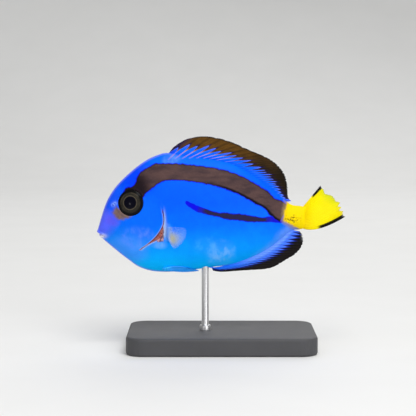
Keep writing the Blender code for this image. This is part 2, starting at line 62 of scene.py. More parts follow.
MM = 0.001
BELLY_HEIGHT = 8.2
GAP = 0.28
VIEW_DISTANCE = 160.0
VIEW_ELEVATION = math.radians(4.5)
VIEW_TARGET = (-1.51, 7.49)

Knots = tuple[tuple[float, ...], ...]
Colour = tuple[float, float, float]


class Side(Enum):
    """Flank that a paired piece belongs to; the value is the sign of its Y."""

    LEFT = -1
    RIGHT = 1

    @property
    def word(self) -> str:
        """Name of the side in piece and node names."""
        return self.name.lower()


class Slot(Enum):
    """Material slots named for the pieces here; only the clear fins' slot is read, to keep them
    from casting shadows.
    """

    BLUE_SKIN = "blue_skin"
    YELLOW_SKIN = "yellow_skin"
    DARK_FIN = "dark_fin"
    BLUE_FIN = "blue_fin"
    CLEAR_FIN = "clear_fin"
    EYE = "eye"
    GILL = "gill"
    STAND_ROD = "stand_rod"


def paint(red: float, green: float, blue: float) -> Colour:
    """Linear colour of a paint given in display values of 0 to 255."""
    return tuple(value / 255 / 12.92 if value <= 10.31 else
                 ((value / 255 + 0.055) / 1.055) ** 2.4 for value in (red, green, blue))


def ease(low: float, high: float, value: np.ndarray) -> np.ndarray:
    """Smooth step from 0 at low to 1 at high."""
    share = np.clip((np.asarray(value, float) - low) / (high - low), 0.0, 1.0)
    return share * share * (3 - 2 * share)


def bell(distance: np.ndarray, width: float) -> np.ndarray:
    """Smooth bump of height one that fades over the given width."""
    return np.exp(-(np.asarray(distance, float) / width) ** 2)


def world(along: np.ndarray, sideways: np.ndarray, height: np.ndarray) -> np.ndarray:
    """Points in metres from sizes that count from the belly."""
    parts = np.broadcast_arrays(along, sideways, np.asarray(height, float) + BELLY_HEIGHT)
    return np.stack(parts, axis=-1) * MM


@dataclass(frozen=True)
class Line:
    """Smooth line through a few knots.

    Args:
        knots: places that the line passes through, all with the same sizes.
        samples: number of points that the line is read at.
    """

    knots: Knots
    samples: int = 1200

    @cached_property
    def points(self) -> np.ndarray:
        """Points along the line.

        Returns:
            One row for each sample, with all the sizes of the knots.
        """
        knots = np.asarray(self.knots, float)
        knots = np.vstack([2 * knots[0] - knots[1], knots, 2 * knots[-1] - knots[-2]])
        spans = len(knots) - 3
        places = np.linspace(0, spans, self.samples)
        index = np.minimum(places.astype(int), spans - 1)
        t = (places - index)[:, None]
        a, b, c, d = (knots[index + step] for step in range(4))
        return 0.5 * (2 * b + (c - a) * t + (2 * a - 5 * b + 4 * c - d) * t ** 2
                      + (3 * b - a - 3 * c + d) * t ** 3)

    @cached_property
    def lengths(self) -> np.ndarray:
        """Length of the line up to each of its points."""
        steps = np.linalg.norm(np.diff(self.points, axis=0), axis=1)
        return np.concatenate([[0.0], np.cumsum(steps)])

    def value(self, place: np.ndarray) -> np.ndarray:
        """Second size of the line at places of its first."""
        return np.interp(place, self.points[:, 0], self.points[:, 1])

    def at_share(self, share: np.ndarray) -> np.ndarray:
        """Points at shares of the line's length.

        Args:
            share: shares from 0 to 1.

        Returns:
            All sizes of the line on the last axis.
        """
        place = np.asarray(share, float) * self.lengths[-1]
        sizes = [np.interp(place, self.lengths, column) for column in self.points.T]
        return np.stack(sizes, axis=-1)

    def thinned(self, count: int) -> np.ndarray:
        """Evenly spaced points along the line."""
        return self.at_share(np.linspace(0, 1, count))[:, :2]


def near_line(along: np.ndarray, height: np.ndarray,
              line: np.ndarray) -> tuple[np.ndarray, np.ndarray]:
    """Distance of places from a line, and where on the line they are nearest.

    Args:
        along: places along the body.
        height: heights of the same places.
        line: points of the line, one row each.

    Returns:
        Distances, and the share of the line's length at the nearest point.
    """
    best = np.full(along.shape, np.inf)
    share = np.zeros(along.shape)
    steps = np.diff(line, axis=0)
    lengths = np.linalg.norm(steps, axis=1)
    before = np.concatenate([[0.0], np.cumsum(lengths)])
    for start, step, length, first in zip(line, steps, lengths, before):
        across_x, across_z = along - start[0], height - start[1]
        t = np.clip((across_x * step[0] + across_z * step[1]) / length ** 2, 0.0, 1.0)
        gap = np.hypot(across_x - t * step[0], across_z - t * step[1])
        closer = gap < best
        best = np.where(closer, gap, best)
        share = np.where(closer, (first + t * length) / before[-1], share)
    return best, share


def inside_zone(along: np.ndarray, height: np.ndarray, edge: np.ndarray) -> np.ndarray:
    """Signed distance to the edge of a zone, positive inside it.

    Args:
        along: places along the body.
        height: heights of the same places.
        edge: corner points of the zone in order, one row each.

    Returns:
        Distance to the edge in millimetres, negative outside.
    """
    loop = np.vstack([edge, edge[:1]])
    distance, _ = near_line(along, height, loop)
    inside = np.zeros(along.shape, bool)
    for (x0, z0), (x1, z1) in zip(loop, loop[1:]):
        spans = (z0 > height) != (z1 > height)
        if z0 != z1:
            inside ^= spans & (along < x0 + (height - z0) * (x1 - x0) / (z1 - z0))
    return np.where(inside, distance, -distance)


def make_object(name: str, points: np.ndarray, faces: list[tuple[int, ...]],
                marks: dict[str, np.ndarray] | None = None) -> bpy.types.Object:
    """Smooth mesh object with named numbers at its vertices.

    Args:
        name: name of the piece.
        points: vertices in metres, one row each.
        faces: vertex numbers of each face, in order.
        marks: numbers for the finish, one for each vertex.

    Returns:
        The object, linked to the scene.
    """
    mesh = bpy.data.meshes.new(name)
    mesh.from_pydata(points.tolist(), [], faces)
    mesh.validate()
    mesh.shade_smooth()
    for label, values in (marks or {}).items():
        layer = mesh.attributes.new(label, "FLOAT", "POINT")
        layer.data.foreach_set("value", np.asarray(values, np.float32).ravel())
    obj = bpy.data.objects.new(name, mesh)
    bpy.context.scene.collection.objects.link(obj)
    return obj


def strip(first: Sequence[int], second: Sequence[int], closed: bool = True) -> list:
    """Quads between two rows of the same number of vertices.

    Args:
        first: vertex numbers of one row.
        second: vertex numbers of the next row.
        closed: whether the rows are loops.

    Returns:
        The faces.
    """
    count = len(first)
    last = count if closed else count - 1
    return [(first[here], first[(here + 1) % count], second[(here + 1) % count], second[here])
            for here in range(last)]


def fan(apex: int, loop: Sequence[int]) -> list:
    """Triangles from an end point to each side of a loop."""
    count = len(loop)
    return [(apex, loop[here], loop[(here + 1) % count]) for here in range(count)]


def face_outwards(points: np.ndarray, faces: list[tuple[int, ...]]) -> list:
    """Faces of a closed mesh, all turned round if they face inwards.

    Args:
        points: vertices, one row each.
        faces: vertex numbers of faces that agree with each other.

    Returns:
        The faces, facing outwards.
    """
    corners = np.array([face[:3] for face in faces] +
                       [(face[0], face[2], face[3]) for face in faces if len(face) == 4])
    centred = points - points.mean(axis=0)
    a, b, c = (centred[corners[:, column]] for column in range(3))
    volume = np.einsum("ij,ij->i", a, np.cross(b, c)).sum()
    return faces if volume > 0 else [tuple(reversed(face)) for face in faces]


def closed_rings(rings: np.ndarray, first: np.ndarray,
                 last: np.ndarray) -> tuple[np.ndarray, list]:
    """Closed mesh through rings of points, with a point at each end.

    Args:
        rings: points by ring and by place round it.
        first: point before the first ring.
        last: point after the last ring.

    Returns:
        Its points and faces.
    """
    count, size = rings.shape[:2]
    points = np.vstack([rings.reshape(-1, 3), first, last])
    loops = np.arange(count * size).reshape(count, size).tolist()
    faces = [face for one, two in zip(loops, loops[1:]) for face in strip(one, two)]
    faces += fan(count * size, loops[0][::-1]) + fan(count * size + 1, loops[-1])
    return points, face_outwards(points, faces)


def tube(path: np.ndarray, radii: np.ndarray, sides: int,
         flatten: float = 1.0) -> tuple[np.ndarray, list]:
    """Closed tapered tube along a path.

    Args:
        path: centre points in metres, one row each.
        radii: radius at each point, in metres.
        sides: number of sides round the tube.
        flatten: thickness across the path's own sideways way, as a share of the radius.

    Returns:
        Its points and faces.
    """
    ways = np.gradient(path, axis=0)
    ways /= np.linalg.norm(ways, axis=1, keepdims=True)
    across = np.cross(ways, np.array([0.0, 1.0, 0.0]))
    across /= np.linalg.norm(across, axis=1, keepdims=True)
    over = np.cross(across, ways)
    turns = np.linspace(0, 2 * math.pi, sides, endpoint=False)
    rings = (path[:, None] + radii[:, None, None]
             * (np.cos(turns)[None, :, None] * across[:, None]
                + flatten * np.sin(turns)[None, :, None] * over[:, None]))
    return closed_rings(rings, path[0], path[-1])


def gather(shapes: Sequence[tuple[np.ndarray, list]]) -> tuple[np.ndarray, list]:
    """One set of points and faces from several.

    Args:
        shapes: points and faces of each shape.

    Returns:
        Points and faces of all of them.
    """
    points, faces, first = [], [], 0
    for more_points, more_faces in shapes:
        points.append(more_points)
        faces += [tuple(number + first for number in face) for face in more_faces]
        first += len(more_points)
    return np.vstack(points), faces


class Value:
    """Output socket of a shader, with arithmetic that adds Math nodes."""

    def __init__(self, tree: Tree, socket: bpy.types.NodeSocket) -> None:
        """Keeps the socket and the tree that it is in."""
        self.tree = tree
        self.socket = socket

    def __add__(self, other: Number) -> Value:
        """Sum."""
        return self.tree.math("ADD", self, other)

    def __sub__(self, other: Number) -> Value:
        """Difference."""
        return self.tree.math("SUBTRACT", self, other)

    def __rsub__(self, other: Number) -> Value:
        """Difference from a number."""
        return self.tree.math("SUBTRACT", other, self)

    def __mul__(self, other: Number) -> Value:
        """Product."""
        return self.tree.math("MULTIPLY", self, other)

    def __truediv__(self, other: Number) -> Value:
        """Quotient."""
        return self.tree.math("DIVIDE", self, other)

    def __rtruediv__(self, other: Number) -> Value:
        """Quotient of a number."""
        return self.tree.math("DIVIDE", other, self)

    def __pow__(self, other: Number) -> Value:
        """Power."""
        return self.tree.math("POWER", self, other)

    def __abs__(self) -> Value:
        """Size without the sign."""
        return self.tree.math("ABSOLUTE", self)

    __radd__ = __add__
    __rmul__ = __mul__

    def most(self, other: Number) -> Value:
        """The larger of two."""
        return self.tree.math("MAXIMUM", self, other)

    def least(self, other: Number) -> Value:
        """The smaller of two."""
        return self.tree.math("MINIMUM", self, other)

    def wave(self) -> Value:
        """Sine."""
        return self.tree.math("SINE", self)

    def ease(self, low: float, high: float) -> Value:
        """Smooth step from 0 at low to 1 at high.

        Args:
            low: value at which the step starts.
            high: value at which it ends, which may be the lower one.

        Returns:
            The step.
        """
        settings = {"interpolation_type": "SMOOTHSTEP"}
        inputs = {"Value": self, "From Min": low, "From Max": high}
        return self.tree.node("ShaderNodeMapRange", settings, inputs)

    def hump(self, width: float) -> Value:
        """Smooth bump round zero that fades out at the given width."""
        return 1 - abs(self).ease(0.0, width)


Number = Value | float


class Tree:
    """Node tree of one material, with a Principled shader at its end."""

    def __init__(self, name: str, **constants: Any) -> None:
        """Makes the material.

        Args:
            name: name of the material.
            constants: numbers that are the same all over, by the shader's socket names
                with underscores for spaces.
        """
        self.material = bpy.data.materials.new(name)
        self.material.use_nodes = True
        self.nodes = self.material.node_tree.nodes
        self.links = self.material.node_tree.links
        self.shader = self.nodes["Principled BSDF"]
        for label, value in constants.items():
            self.shader.inputs[label.replace("_", " ")].default_value = value

    def node(self, kind: str, settings: dict[str, Any] | None = None,
             inputs: dict[Any, Any] | None = None, output: int | str = 0) -> Value:
        """Adds a node.

        Args:
            kind: type name of the node.
            settings: the node's own settings; stops are the places and colours of a ramp.
            inputs: numbers, colours or links of its sockets.
            output: which output to return.

        Returns:
            The node's output.
        """
        node = self.nodes.new(kind)
        for label, value in (settings or {}).items():
            if label != "stops":
                setattr(node, label, value)
                continue
            ramp = node.color_ramp.elements
            while len(ramp) < len(value):
                ramp.new(1.0)
            for stop, (place, colour) in zip(ramp, value):
                stop.position = place
                stop.color = (*colour, 1.0)
        for label, value in (inputs or {}).items():
            socket = node.inputs[label]
            if isinstance(value, Value):
                self.links.new(value.socket, socket)
            elif isinstance(value, tuple) and socket.type == "RGBA":
                socket.default_value = (*value, 1.0)
            else:
                socket.default_value = value
        return Value(self, node.outputs[output])

    def math(self, operation: str, *values: Number) -> Value:
        """Result of a Math node."""
        return self.node("ShaderNodeMath", {"operation": operation}, dict(enumerate(values)))

    def mix(self, factor: Number, first: Value | Colour, second: Value | Colour) -> Value:
        """Colour between two colours.

        Args:
            factor: share of the second colour.
            first: colour at 0.
            second: colour at 1.

        Returns:
            The mixed colour.
        """
        inputs = {0: factor, 6: first, 7: second}
        settings = {"data_type": "RGBA", "clamp_factor": True}
        return self.node("ShaderNodeMix", settings, inputs, 2)

    def shade(self, colour: Value, strength: Number) -> Value:
        """Colour made lighter or darker by a factor."""
        return self.node("ShaderNodeVectorMath", {"operation": "SCALE"},
                         {0: colour, "Scale": strength})

    def mark(self, label: str) -> Value:
        """Number kept at the vertices under a name."""
        return self.node("ShaderNodeAttribute", {"attribute_name": label}, None, "Fac")

    def ramp(self, place: Number, stops: Sequence[tuple[float, Colour]]) -> Value:
        """Colour of a ramp at a place from 0 to 1."""
        return self.node("ShaderNodeValToRGB", {"stops": stops}, {0: place})

    @cached_property
    def millimetres(self) -> Value:
        """Place in millimetres, counted from under the stand.

        Returns:
            The place as a vector.
        """
        place = self.node("ShaderNodeTexCoord", None, None, "Object")
        return self.node("ShaderNodeVectorMath", {"operation": "SCALE"},
                         {0: place, "Scale": 1 / MM})

    def axis(self, label: str) -> Value:
        """One size of the place in millimetres; Z counts from the belly."""
        size = self.node("ShaderNodeSeparateXYZ", None, {0: self.millimetres}, label)
        return size - BELLY_HEIGHT if label == "Z" else size

    def noise(self, scale: float, detail: float = 2.0,
              stretch: tuple[float, float, float] = (1.0, 1.0, 1.0)) -> Value:
        """Cloudy pattern of 0 to 1.

        Args:
            scale: number of its features in a millimetre.
            detail: number of finer layers.
            stretch: factors on the three ways; a small one draws the pattern out.

        Returns:
            The pattern.
        """
        place = self.millimetres
        if stretch != (1.0, 1.0, 1.0):
            place = self.node("ShaderNodeVectorMath", {"operation": "MULTIPLY"},
                              {0: place, 1: stretch})
        return self.node("ShaderNodeTexNoise", None,
                         {"Vector": place, "Scale": scale, "Detail": detail})

    def cells(self, scale: float) -> Value:
        """Distance from the centres of small cells, such as scales."""
        return self.node("ShaderNodeTexVoronoi", None,
                         {"Vector": self.millimetres, "Scale": scale})

    def finish(self, colour: Value, roughness: Number, relief: Value | None = None,
               depth: float = 0.01, alpha: Number | None = None) -> bpy.types.Material:
        """Links the shader.

        Args:
            colour: base colour.
            roughness: roughness, from 0 to 1.
            relief: height of the fine relief, from 0 to 1.
            depth: height of that relief in millimetres.
            alpha: opacity, where it isn't full.

        Returns:
            The material.
        """
        varying = {"Base Color": colour, "Roughness": roughness, "Alpha": alpha}
        if relief is not None:
            varying["Normal"] = self.node("ShaderNodeBump", None,
                                          {"Distance": depth * MM, "Height": relief})
        for label, value in varying.items():
            if isinstance(value, Value):
                self.links.new(value.socket, self.shader.inputs[label])
            elif value is not None:
                self.shader.inputs[label].default_value = value
        return self.material


@dataclass(frozen=True)
class Body:
    """Shape of the head, trunk and tail root, as half widths over the side view."""

    half_length: float = 13.85
    snout_height: float = 5.05
    midline: float = 0.48
    rounding: float = 0.6
    end: float = 9.45
    cover_rise: float = 0.10
    cover_fade: float = 0.70
    back: Line = Line((
        (-13.85, 5.05), (-13.62, 5.80), (-13.24, 7.06), (-12.88, 8.07), (-12.40, 9.00),
        (-11.60, 10.10), (-10.20, 11.47), (-8.57, 12.72), (-7.20, 13.38), (-6.00, 13.64),
        (-4.00, 13.35), (-1.00, 13.00), (1.10, 12.50), (3.20, 11.40), (5.40, 9.83),
        (7.10, 8.36), (7.90, 7.84), (8.80, 7.72), (9.45, 7.60)))
    belly: Line = Line((
        (-13.85, 5.05), (-13.74, 4.70), (-13.55, 4.40), (-13.18, 3.96), (-11.39, 2.45),
        (-10.28, 1.60), (-9.30, 0.92), (-8.00, 0.47), (-6.50, 0.32), (-4.60, 0.40),
        (-2.80, 0.60), (-1.40, 0.82), (0.95, 1.12), (2.63, 1.62), (4.30, 2.35),
        (5.64, 3.18), (6.76, 4.08), (7.77, 4.92), (8.80, 5.10), (9.45, 5.24)))
    girth: Line = Line((
        (-13.85, 0.00), (-13.72, 0.34), (-13.40, 0.60), (-12.60, 0.96), (-11.50, 1.36),
        (-10.20, 1.72), (-8.50, 1.98), (-6.80, 2.10), (-4.00, 2.12), (-1.00, 2.00),
        (2.00, 1.72), (4.50, 1.30), (6.50, 0.90), (7.80, 0.64), (8.80, 0.50),
        (9.20, 0.38), (9.45, 0.12)))
    gill: Line = Line((
        (0.00, -10.30), (0.06, -10.12), (0.11, -9.82), (0.19, -9.07), (0.26, -8.10),
        (0.33, -7.19), (0.40, -6.58), (0.46, -6.42), (0.54, -6.62), (0.66, -6.95), (0.79, -7.10),
        (1.00, -7.20)))

    def share(self, along: np.ndarray, height: np.ndarray) -> np.ndarray:
        """Share of the body's height at a place, 0 at the belly and 1 at the back."""
        low, high = self.belly.value(along), self.back.value(along)
        return np.clip((height - low) / np.maximum(high - low, 1e-6), 0.0, 1.0)

    def edge_fall(self, share: np.ndarray) -> np.ndarray:
        """Fall of the flank towards the back and belly, 1 at the middle and 0 there.

        Args:
            share: share of the body's height.

        Returns:
            The fall.
        """
        reach = share - self.midline
        reach = reach / np.where(reach > 0, 1 - self.midline, self.midline)
        return np.maximum(1 - reach * reach, 0.0)

    def half_width(self, along: np.ndarray, height: np.ndarray) -> np.ndarray:
        """Distance of the flank from the middle plane, without relief."""
        fall = self.edge_fall(self.share(along, height))
        return self.girth.value(along) * fall ** self.rounding

    def normal(self, side: Side, along: float, height: float, step: float = 0.4) -> Vector:
        """Direction in which the skin faces on one flank.

        Args:
            side: the flank.
            along: place along the body.
            height: height of the place.
            step: distance over which the slope is taken.

        Returns:
            A way of length one.
        """
        forward = self.half_width(along + step, height) - self.half_width(along - step, height)
        upward = self.half_width(along, height + step) - self.half_width(along, height - step)
        return Vector((-float(forward), side.value * 2 * step, -float(upward))).normalized()

    def as_seen(self, along: np.ndarray, width: np.ndarray,
                height: np.ndarray) -> tuple[np.ndarray, np.ndarray]:
        """Places on the middle plane that the side view shows behind places of a flank.

        Args:
            along: places along the body.
            width: their distance from the middle plane.
            height: their heights.

        Returns:
            Place along the body and height.
        """
        nearer = 1 + width / VIEW_DISTANCE
        seen_along = VIEW_TARGET[0] + (along - VIEW_TARGET[0]) * nearer
        seen_height = VIEW_TARGET[1] + (height - VIEW_TARGET[1]) * nearer
        return seen_along, seen_height - width * math.tan(VIEW_ELEVATION)


@dataclass(frozen=True)
class Bloom:
    """Soft patch of a colour on the skin.

    Args:
        colour: its colour.
        along: place of its centre along the body.
        height: height of its centre.
        length: half its length.
        depth: half its height.
        strength: how much of the colour shows at the centre.
        broken: how far wisps break it up, from 0 to 1.
    """

    colour: Colour
    along: float
    height: float
    length: float
    depth: float
    strength: float = 1.0
    broken: float = 0.0


@dataclass(frozen=True)
class SkinFinish:
    """Saturated blue skin with the dark band, the lower line and the yellow tail root."""

    # Blue by height, partly painted light: lighter towards the belly to stand in for light from
    # below, a little deeper near the back to offset the light from above.
    heights: tuple[tuple[float, Colour], ...] = (
        (0.3, paint(4, 184, 255)), (1.8, paint(2, 166, 255)), (3.8, paint(1, 140, 255)),
        (5.8, paint(0, 107, 249)), (8.2, paint(0, 90, 247)), (10.4, paint(0, 92, 246)),
        (12.0, paint(0, 104, 243)), (13.6, paint(4, 104, 244)))
    top: float = 14.0
    blooms: tuple[Bloom, ...] = (
        Bloom(paint(2, 60, 242), -9.4, 10.9, 2.6, 2.1, 0.9),
        Bloom(paint(22, 82, 246), -12.3, 8.3, 1.5, 2.6, 0.8),
        Bloom(paint(4, 104, 252), -8.4, 6.2, 2.0, 3.0, 0.6),
        Bloom(paint(62, 142, 255), -10.8, 3.0, 2.9, 1.7, 0.75),
        Bloom(paint(84, 98, 250), -13.2, 5.9, 1.7, 1.9, 0.95),
        Bloom(paint(98, 84, 236), -12.0, 6.2, 1.0, 0.8, 0.5),
        Bloom(paint(104, 138, 252), -9.4, 4.3, 2.4, 1.5, 0.6, 0.8),
        Bloom(paint(104, 150, 252), -5.6, 12.9, 1.1, 0.7, 0.6, 0.7),
        Bloom(paint(44, 100, 250), -8.6, 11.9, 0.9, 0.5, 0.5, 0.6),
        Bloom(paint(150, 190, 244), -6.1, 4.9, 0.6, 1.1, 0.6, 0.5),
        Bloom(paint(140, 184, 252), -6.85, 3.5, 1.0, 0.5, 0.5, 0.6),
        Bloom(paint(120, 180, 250), -0.1, 2.5, 1.9, 1.7, 0.75, 0.85),
        Bloom(paint(60, 164, 254), -1.6, 3.4, 1.8, 1.2, 0.6, 0.8))
    band_brown: Colour = paint(62, 48, 51)
    band_light: Colour = paint(85, 64, 62)
    band_dark: Colour = paint(26, 18, 24)
    band_black: Colour = paint(14, 12, 24)
    indigo: Colour = paint(8, 8, 216)
    line_dark: Colour = paint(38, 32, 66)
    yellow: Colour = paint(234, 202, 0)
    yellow_light: Colour = paint(242, 216, 0)
    yellow_deep: Colour = paint(206, 160, 2)
    tan: Colour = paint(150, 128, 90)
    speck: Colour = paint(104, 84, 20)
    gold: Colour = paint(144, 114, 74)
    gold_dark: Colour = paint(86, 66, 58)
    violet: Colour = paint(112, 158, 255)
    # Pale violet line along the head's outline: painted rim light.
    rim: Colour = paint(122, 134, 255)
    # Near white on the lower lip: the lip's own pale colour with a painted highlight.
    lip_and_highlight: Colour = paint(232, 230, 240)
    slit: Colour = paint(92, 40, 60)
    gill_red: Colour = paint(150, 54, 46)
    gill_pink: Colour = paint(200, 146, 134)
    raw_brown: Colour = paint(104, 62, 52)
    pale: Colour = paint(150, 182, 240)
    hem: Colour = paint(178, 198, 222)
    # Painted light from below: how much the skin is lightened towards the belly.
    painted_underside_light: float = 0.12
    comb_slit: Colour = paint(190, 140, 118)
    halo: float = 0.16
    band_front: tuple[float, float] = (-9.9, 9.6)
    band_front_size: tuple[float, float] = (2.2, 2.3)
    brink_start: tuple[float, float] = (-2.0, 2.0)
    brink_width: tuple[float, float] = (0.34, 0.12)
    line_start: tuple[float, float] = (-3.0, -1.5)
    line_end: tuple[float, float] = (4.7, 5.6)

    def build(self) -> bpy.types.Material:
        """Makes the material from the marks of the skin.

        Returns:
            The material.
        """
        tree = Tree("tang_skin", Specular_IOR_Level=0.05)
        along, height = tree.axis("X"), tree.axis("Z")
        cloud, fine = tree.noise(0.55, 3.0), tree.noise(5.0, 2.0)
        wisps = tree.noise(1.3, 5.0, (1.0, 1.0, 0.7)).ease(0.42, 0.74)
        waver = (tree.noise(1.9, 3.0) - 0.5) * 0.30 + (fine - 0.5) * 0.06
        # The height ramp carries painted light: lighter towards the belly, deeper near the back.
        stops = [(place / self.top, colour) for place, colour in self.heights]
        colour = tree.ramp((height + (cloud - 0.5) * 1.6) / self.top, stops)
        for bloom in self.blooms:
            reach = ((along - bloom.along) / bloom.length) ** 2
            reach = reach + ((height - bloom.height) / bloom.depth) ** 2
            patch = (1 - (reach + (cloud - 0.5) * 1.2).ease(0.0, 1.3)) * bloom.strength
            if bloom.broken:
                patch = patch * (1 - bloom.broken + wisps * bloom.broken)
            colour = tree.mix(patch, colour, bloom.colour)
        keel = (tree.mark("keel") + (cloud - 0.5) * 1.4).ease(-0.5, 0.7)
        colour = tree.mix(keel * 0.72, colour, self.violet)
        # Painted rim light: pale violet along the outline of the head.
        colour = tree.mix(tree.mark("rim") * 0.75, colour, self.rim)
        # Painted light from below: the skin grows lighter towards the belly.
        lift = (1 - height.ease(0.6, 5.4)) * self.painted_underside_light
        colour = tree.shade(colour, 0.87 + fine * 0.17 + wisps * 0.07 + lift)

        gold = (tree.mark("gold") + waver * 2.2).ease(-0.30, 0.22)
        gold_tone = tree.mix(tree.noise(3.4, 3.0), self.gold_dark, self.gold)
        colour = tree.mix(gold * 0.95, colour, gold_tone)
        colour = tree.mix(tree.mark("nostril") * 0.55, colour, self.pale)
        colour = tree.mix(tree.mark("slits") * 0.8, colour, self.comb_slit)

        line = tree.mark("line") + waver * 0.8
        colour = tree.mix(line.ease(-self.halo, -0.02), colour, self.indigo)
        dark = line.ease(-0.05, 0.03) * (along + waver * 3).ease(*self.line_start)
        dark = dark * (1 - (along + waver * 4).ease(*self.line_end) * 0.75)
        colour = tree.mix(dark, colour, self.line_dark)

        band = tree.mark("band") + waver
        streaks = tree.noise(1.1, 4.0, (0.5, 1.0, 1.6))
        front = (((along - self.band_front[0]) / self.band_front_size[0]) ** 2
                 + ((height - self.band_front[1]) / self.band_front_size[1]) ** 2)
        brown = tree.shade(tree.mix(streaks.ease(0.28, 0.72), self.band_brown, self.band_light),
                           0.86 + fine * 0.28)
        brown = tree.mix((1 - front.ease(0.2, 1.2)) * 0.95, brown, self.band_dark)
        brown = tree.mix(band.ease(0.16, 0.0) * 0.75, brown, self.band_dark)
        brink = (tree.mark("brink") + waver * 0.5).ease(*self.brink_width)
        brink = brink * (along + cloud * 2).ease(*self.brink_start)
        brown = tree.mix(brink, brown, self.band_black)
        colour = tree.mix(band.ease(-self.halo, -0.03) * 0.9, colour, self.indigo)
        colour = tree.mix(band.ease(-0.05, 0.03), colour, brown)

        yellow = tree.mark("yellow") + waver * 1.2
        colour = tree.mix(yellow.ease(-0.55, -0.04) * 0.7, colour, self.tan)
        warm = tree.shade(tree.mix(cloud, self.yellow, self.yellow_light), 0.9 + fine * 0.2)
        warm = tree.mix(yellow.ease(0.35, 0.0) * 0.5, warm, self.yellow_deep)
        colour = tree.mix(yellow.ease(-0.12, 0.14), colour, warm)
        specks = tree.mark("scalpel") * tree.noise(4.6, 1.0).ease(0.50, 0.66)
        colour = tree.mix(specks * 0.85, colour, self.speck)

        # Pale lower lip with a painted highlight on it.
        colour = tree.mix(tree.mark("lips"), colour, self.lip_and_highlight)
        colour = tree.mix(tree.mark("hem") * 0.8, colour, self.hem)
        raw = (tree.mark("raw") + waver).ease(-0.10, 0.08)
        flecks = tree.noise(3.2, 2.0).ease(0.42, 0.6)
        colour = tree.mix(raw * 0.9, colour, tree.mix(flecks, self.raw_brown, self.gill_pink))
        gill = tree.mark("gill")
        red = tree.mix(streaks.ease(0.35, 0.65), self.gill_red, self.gill_pink)
        inside = tree.mix(tree.mark("wedge"), self.slit, red)
        colour = tree.mix(gill.ease(0.10, 0.45), colour, inside)

        relief = (1 - tree.cells(6.5)) * 0.5 + fine * 0.3 + tree.mark("lateral") * 0.8
        return tree.finish(colour, 0.42 + fine * 0.12 + band.ease(-0.05, 0.05) * 0.08,
                           relief, 0.012)


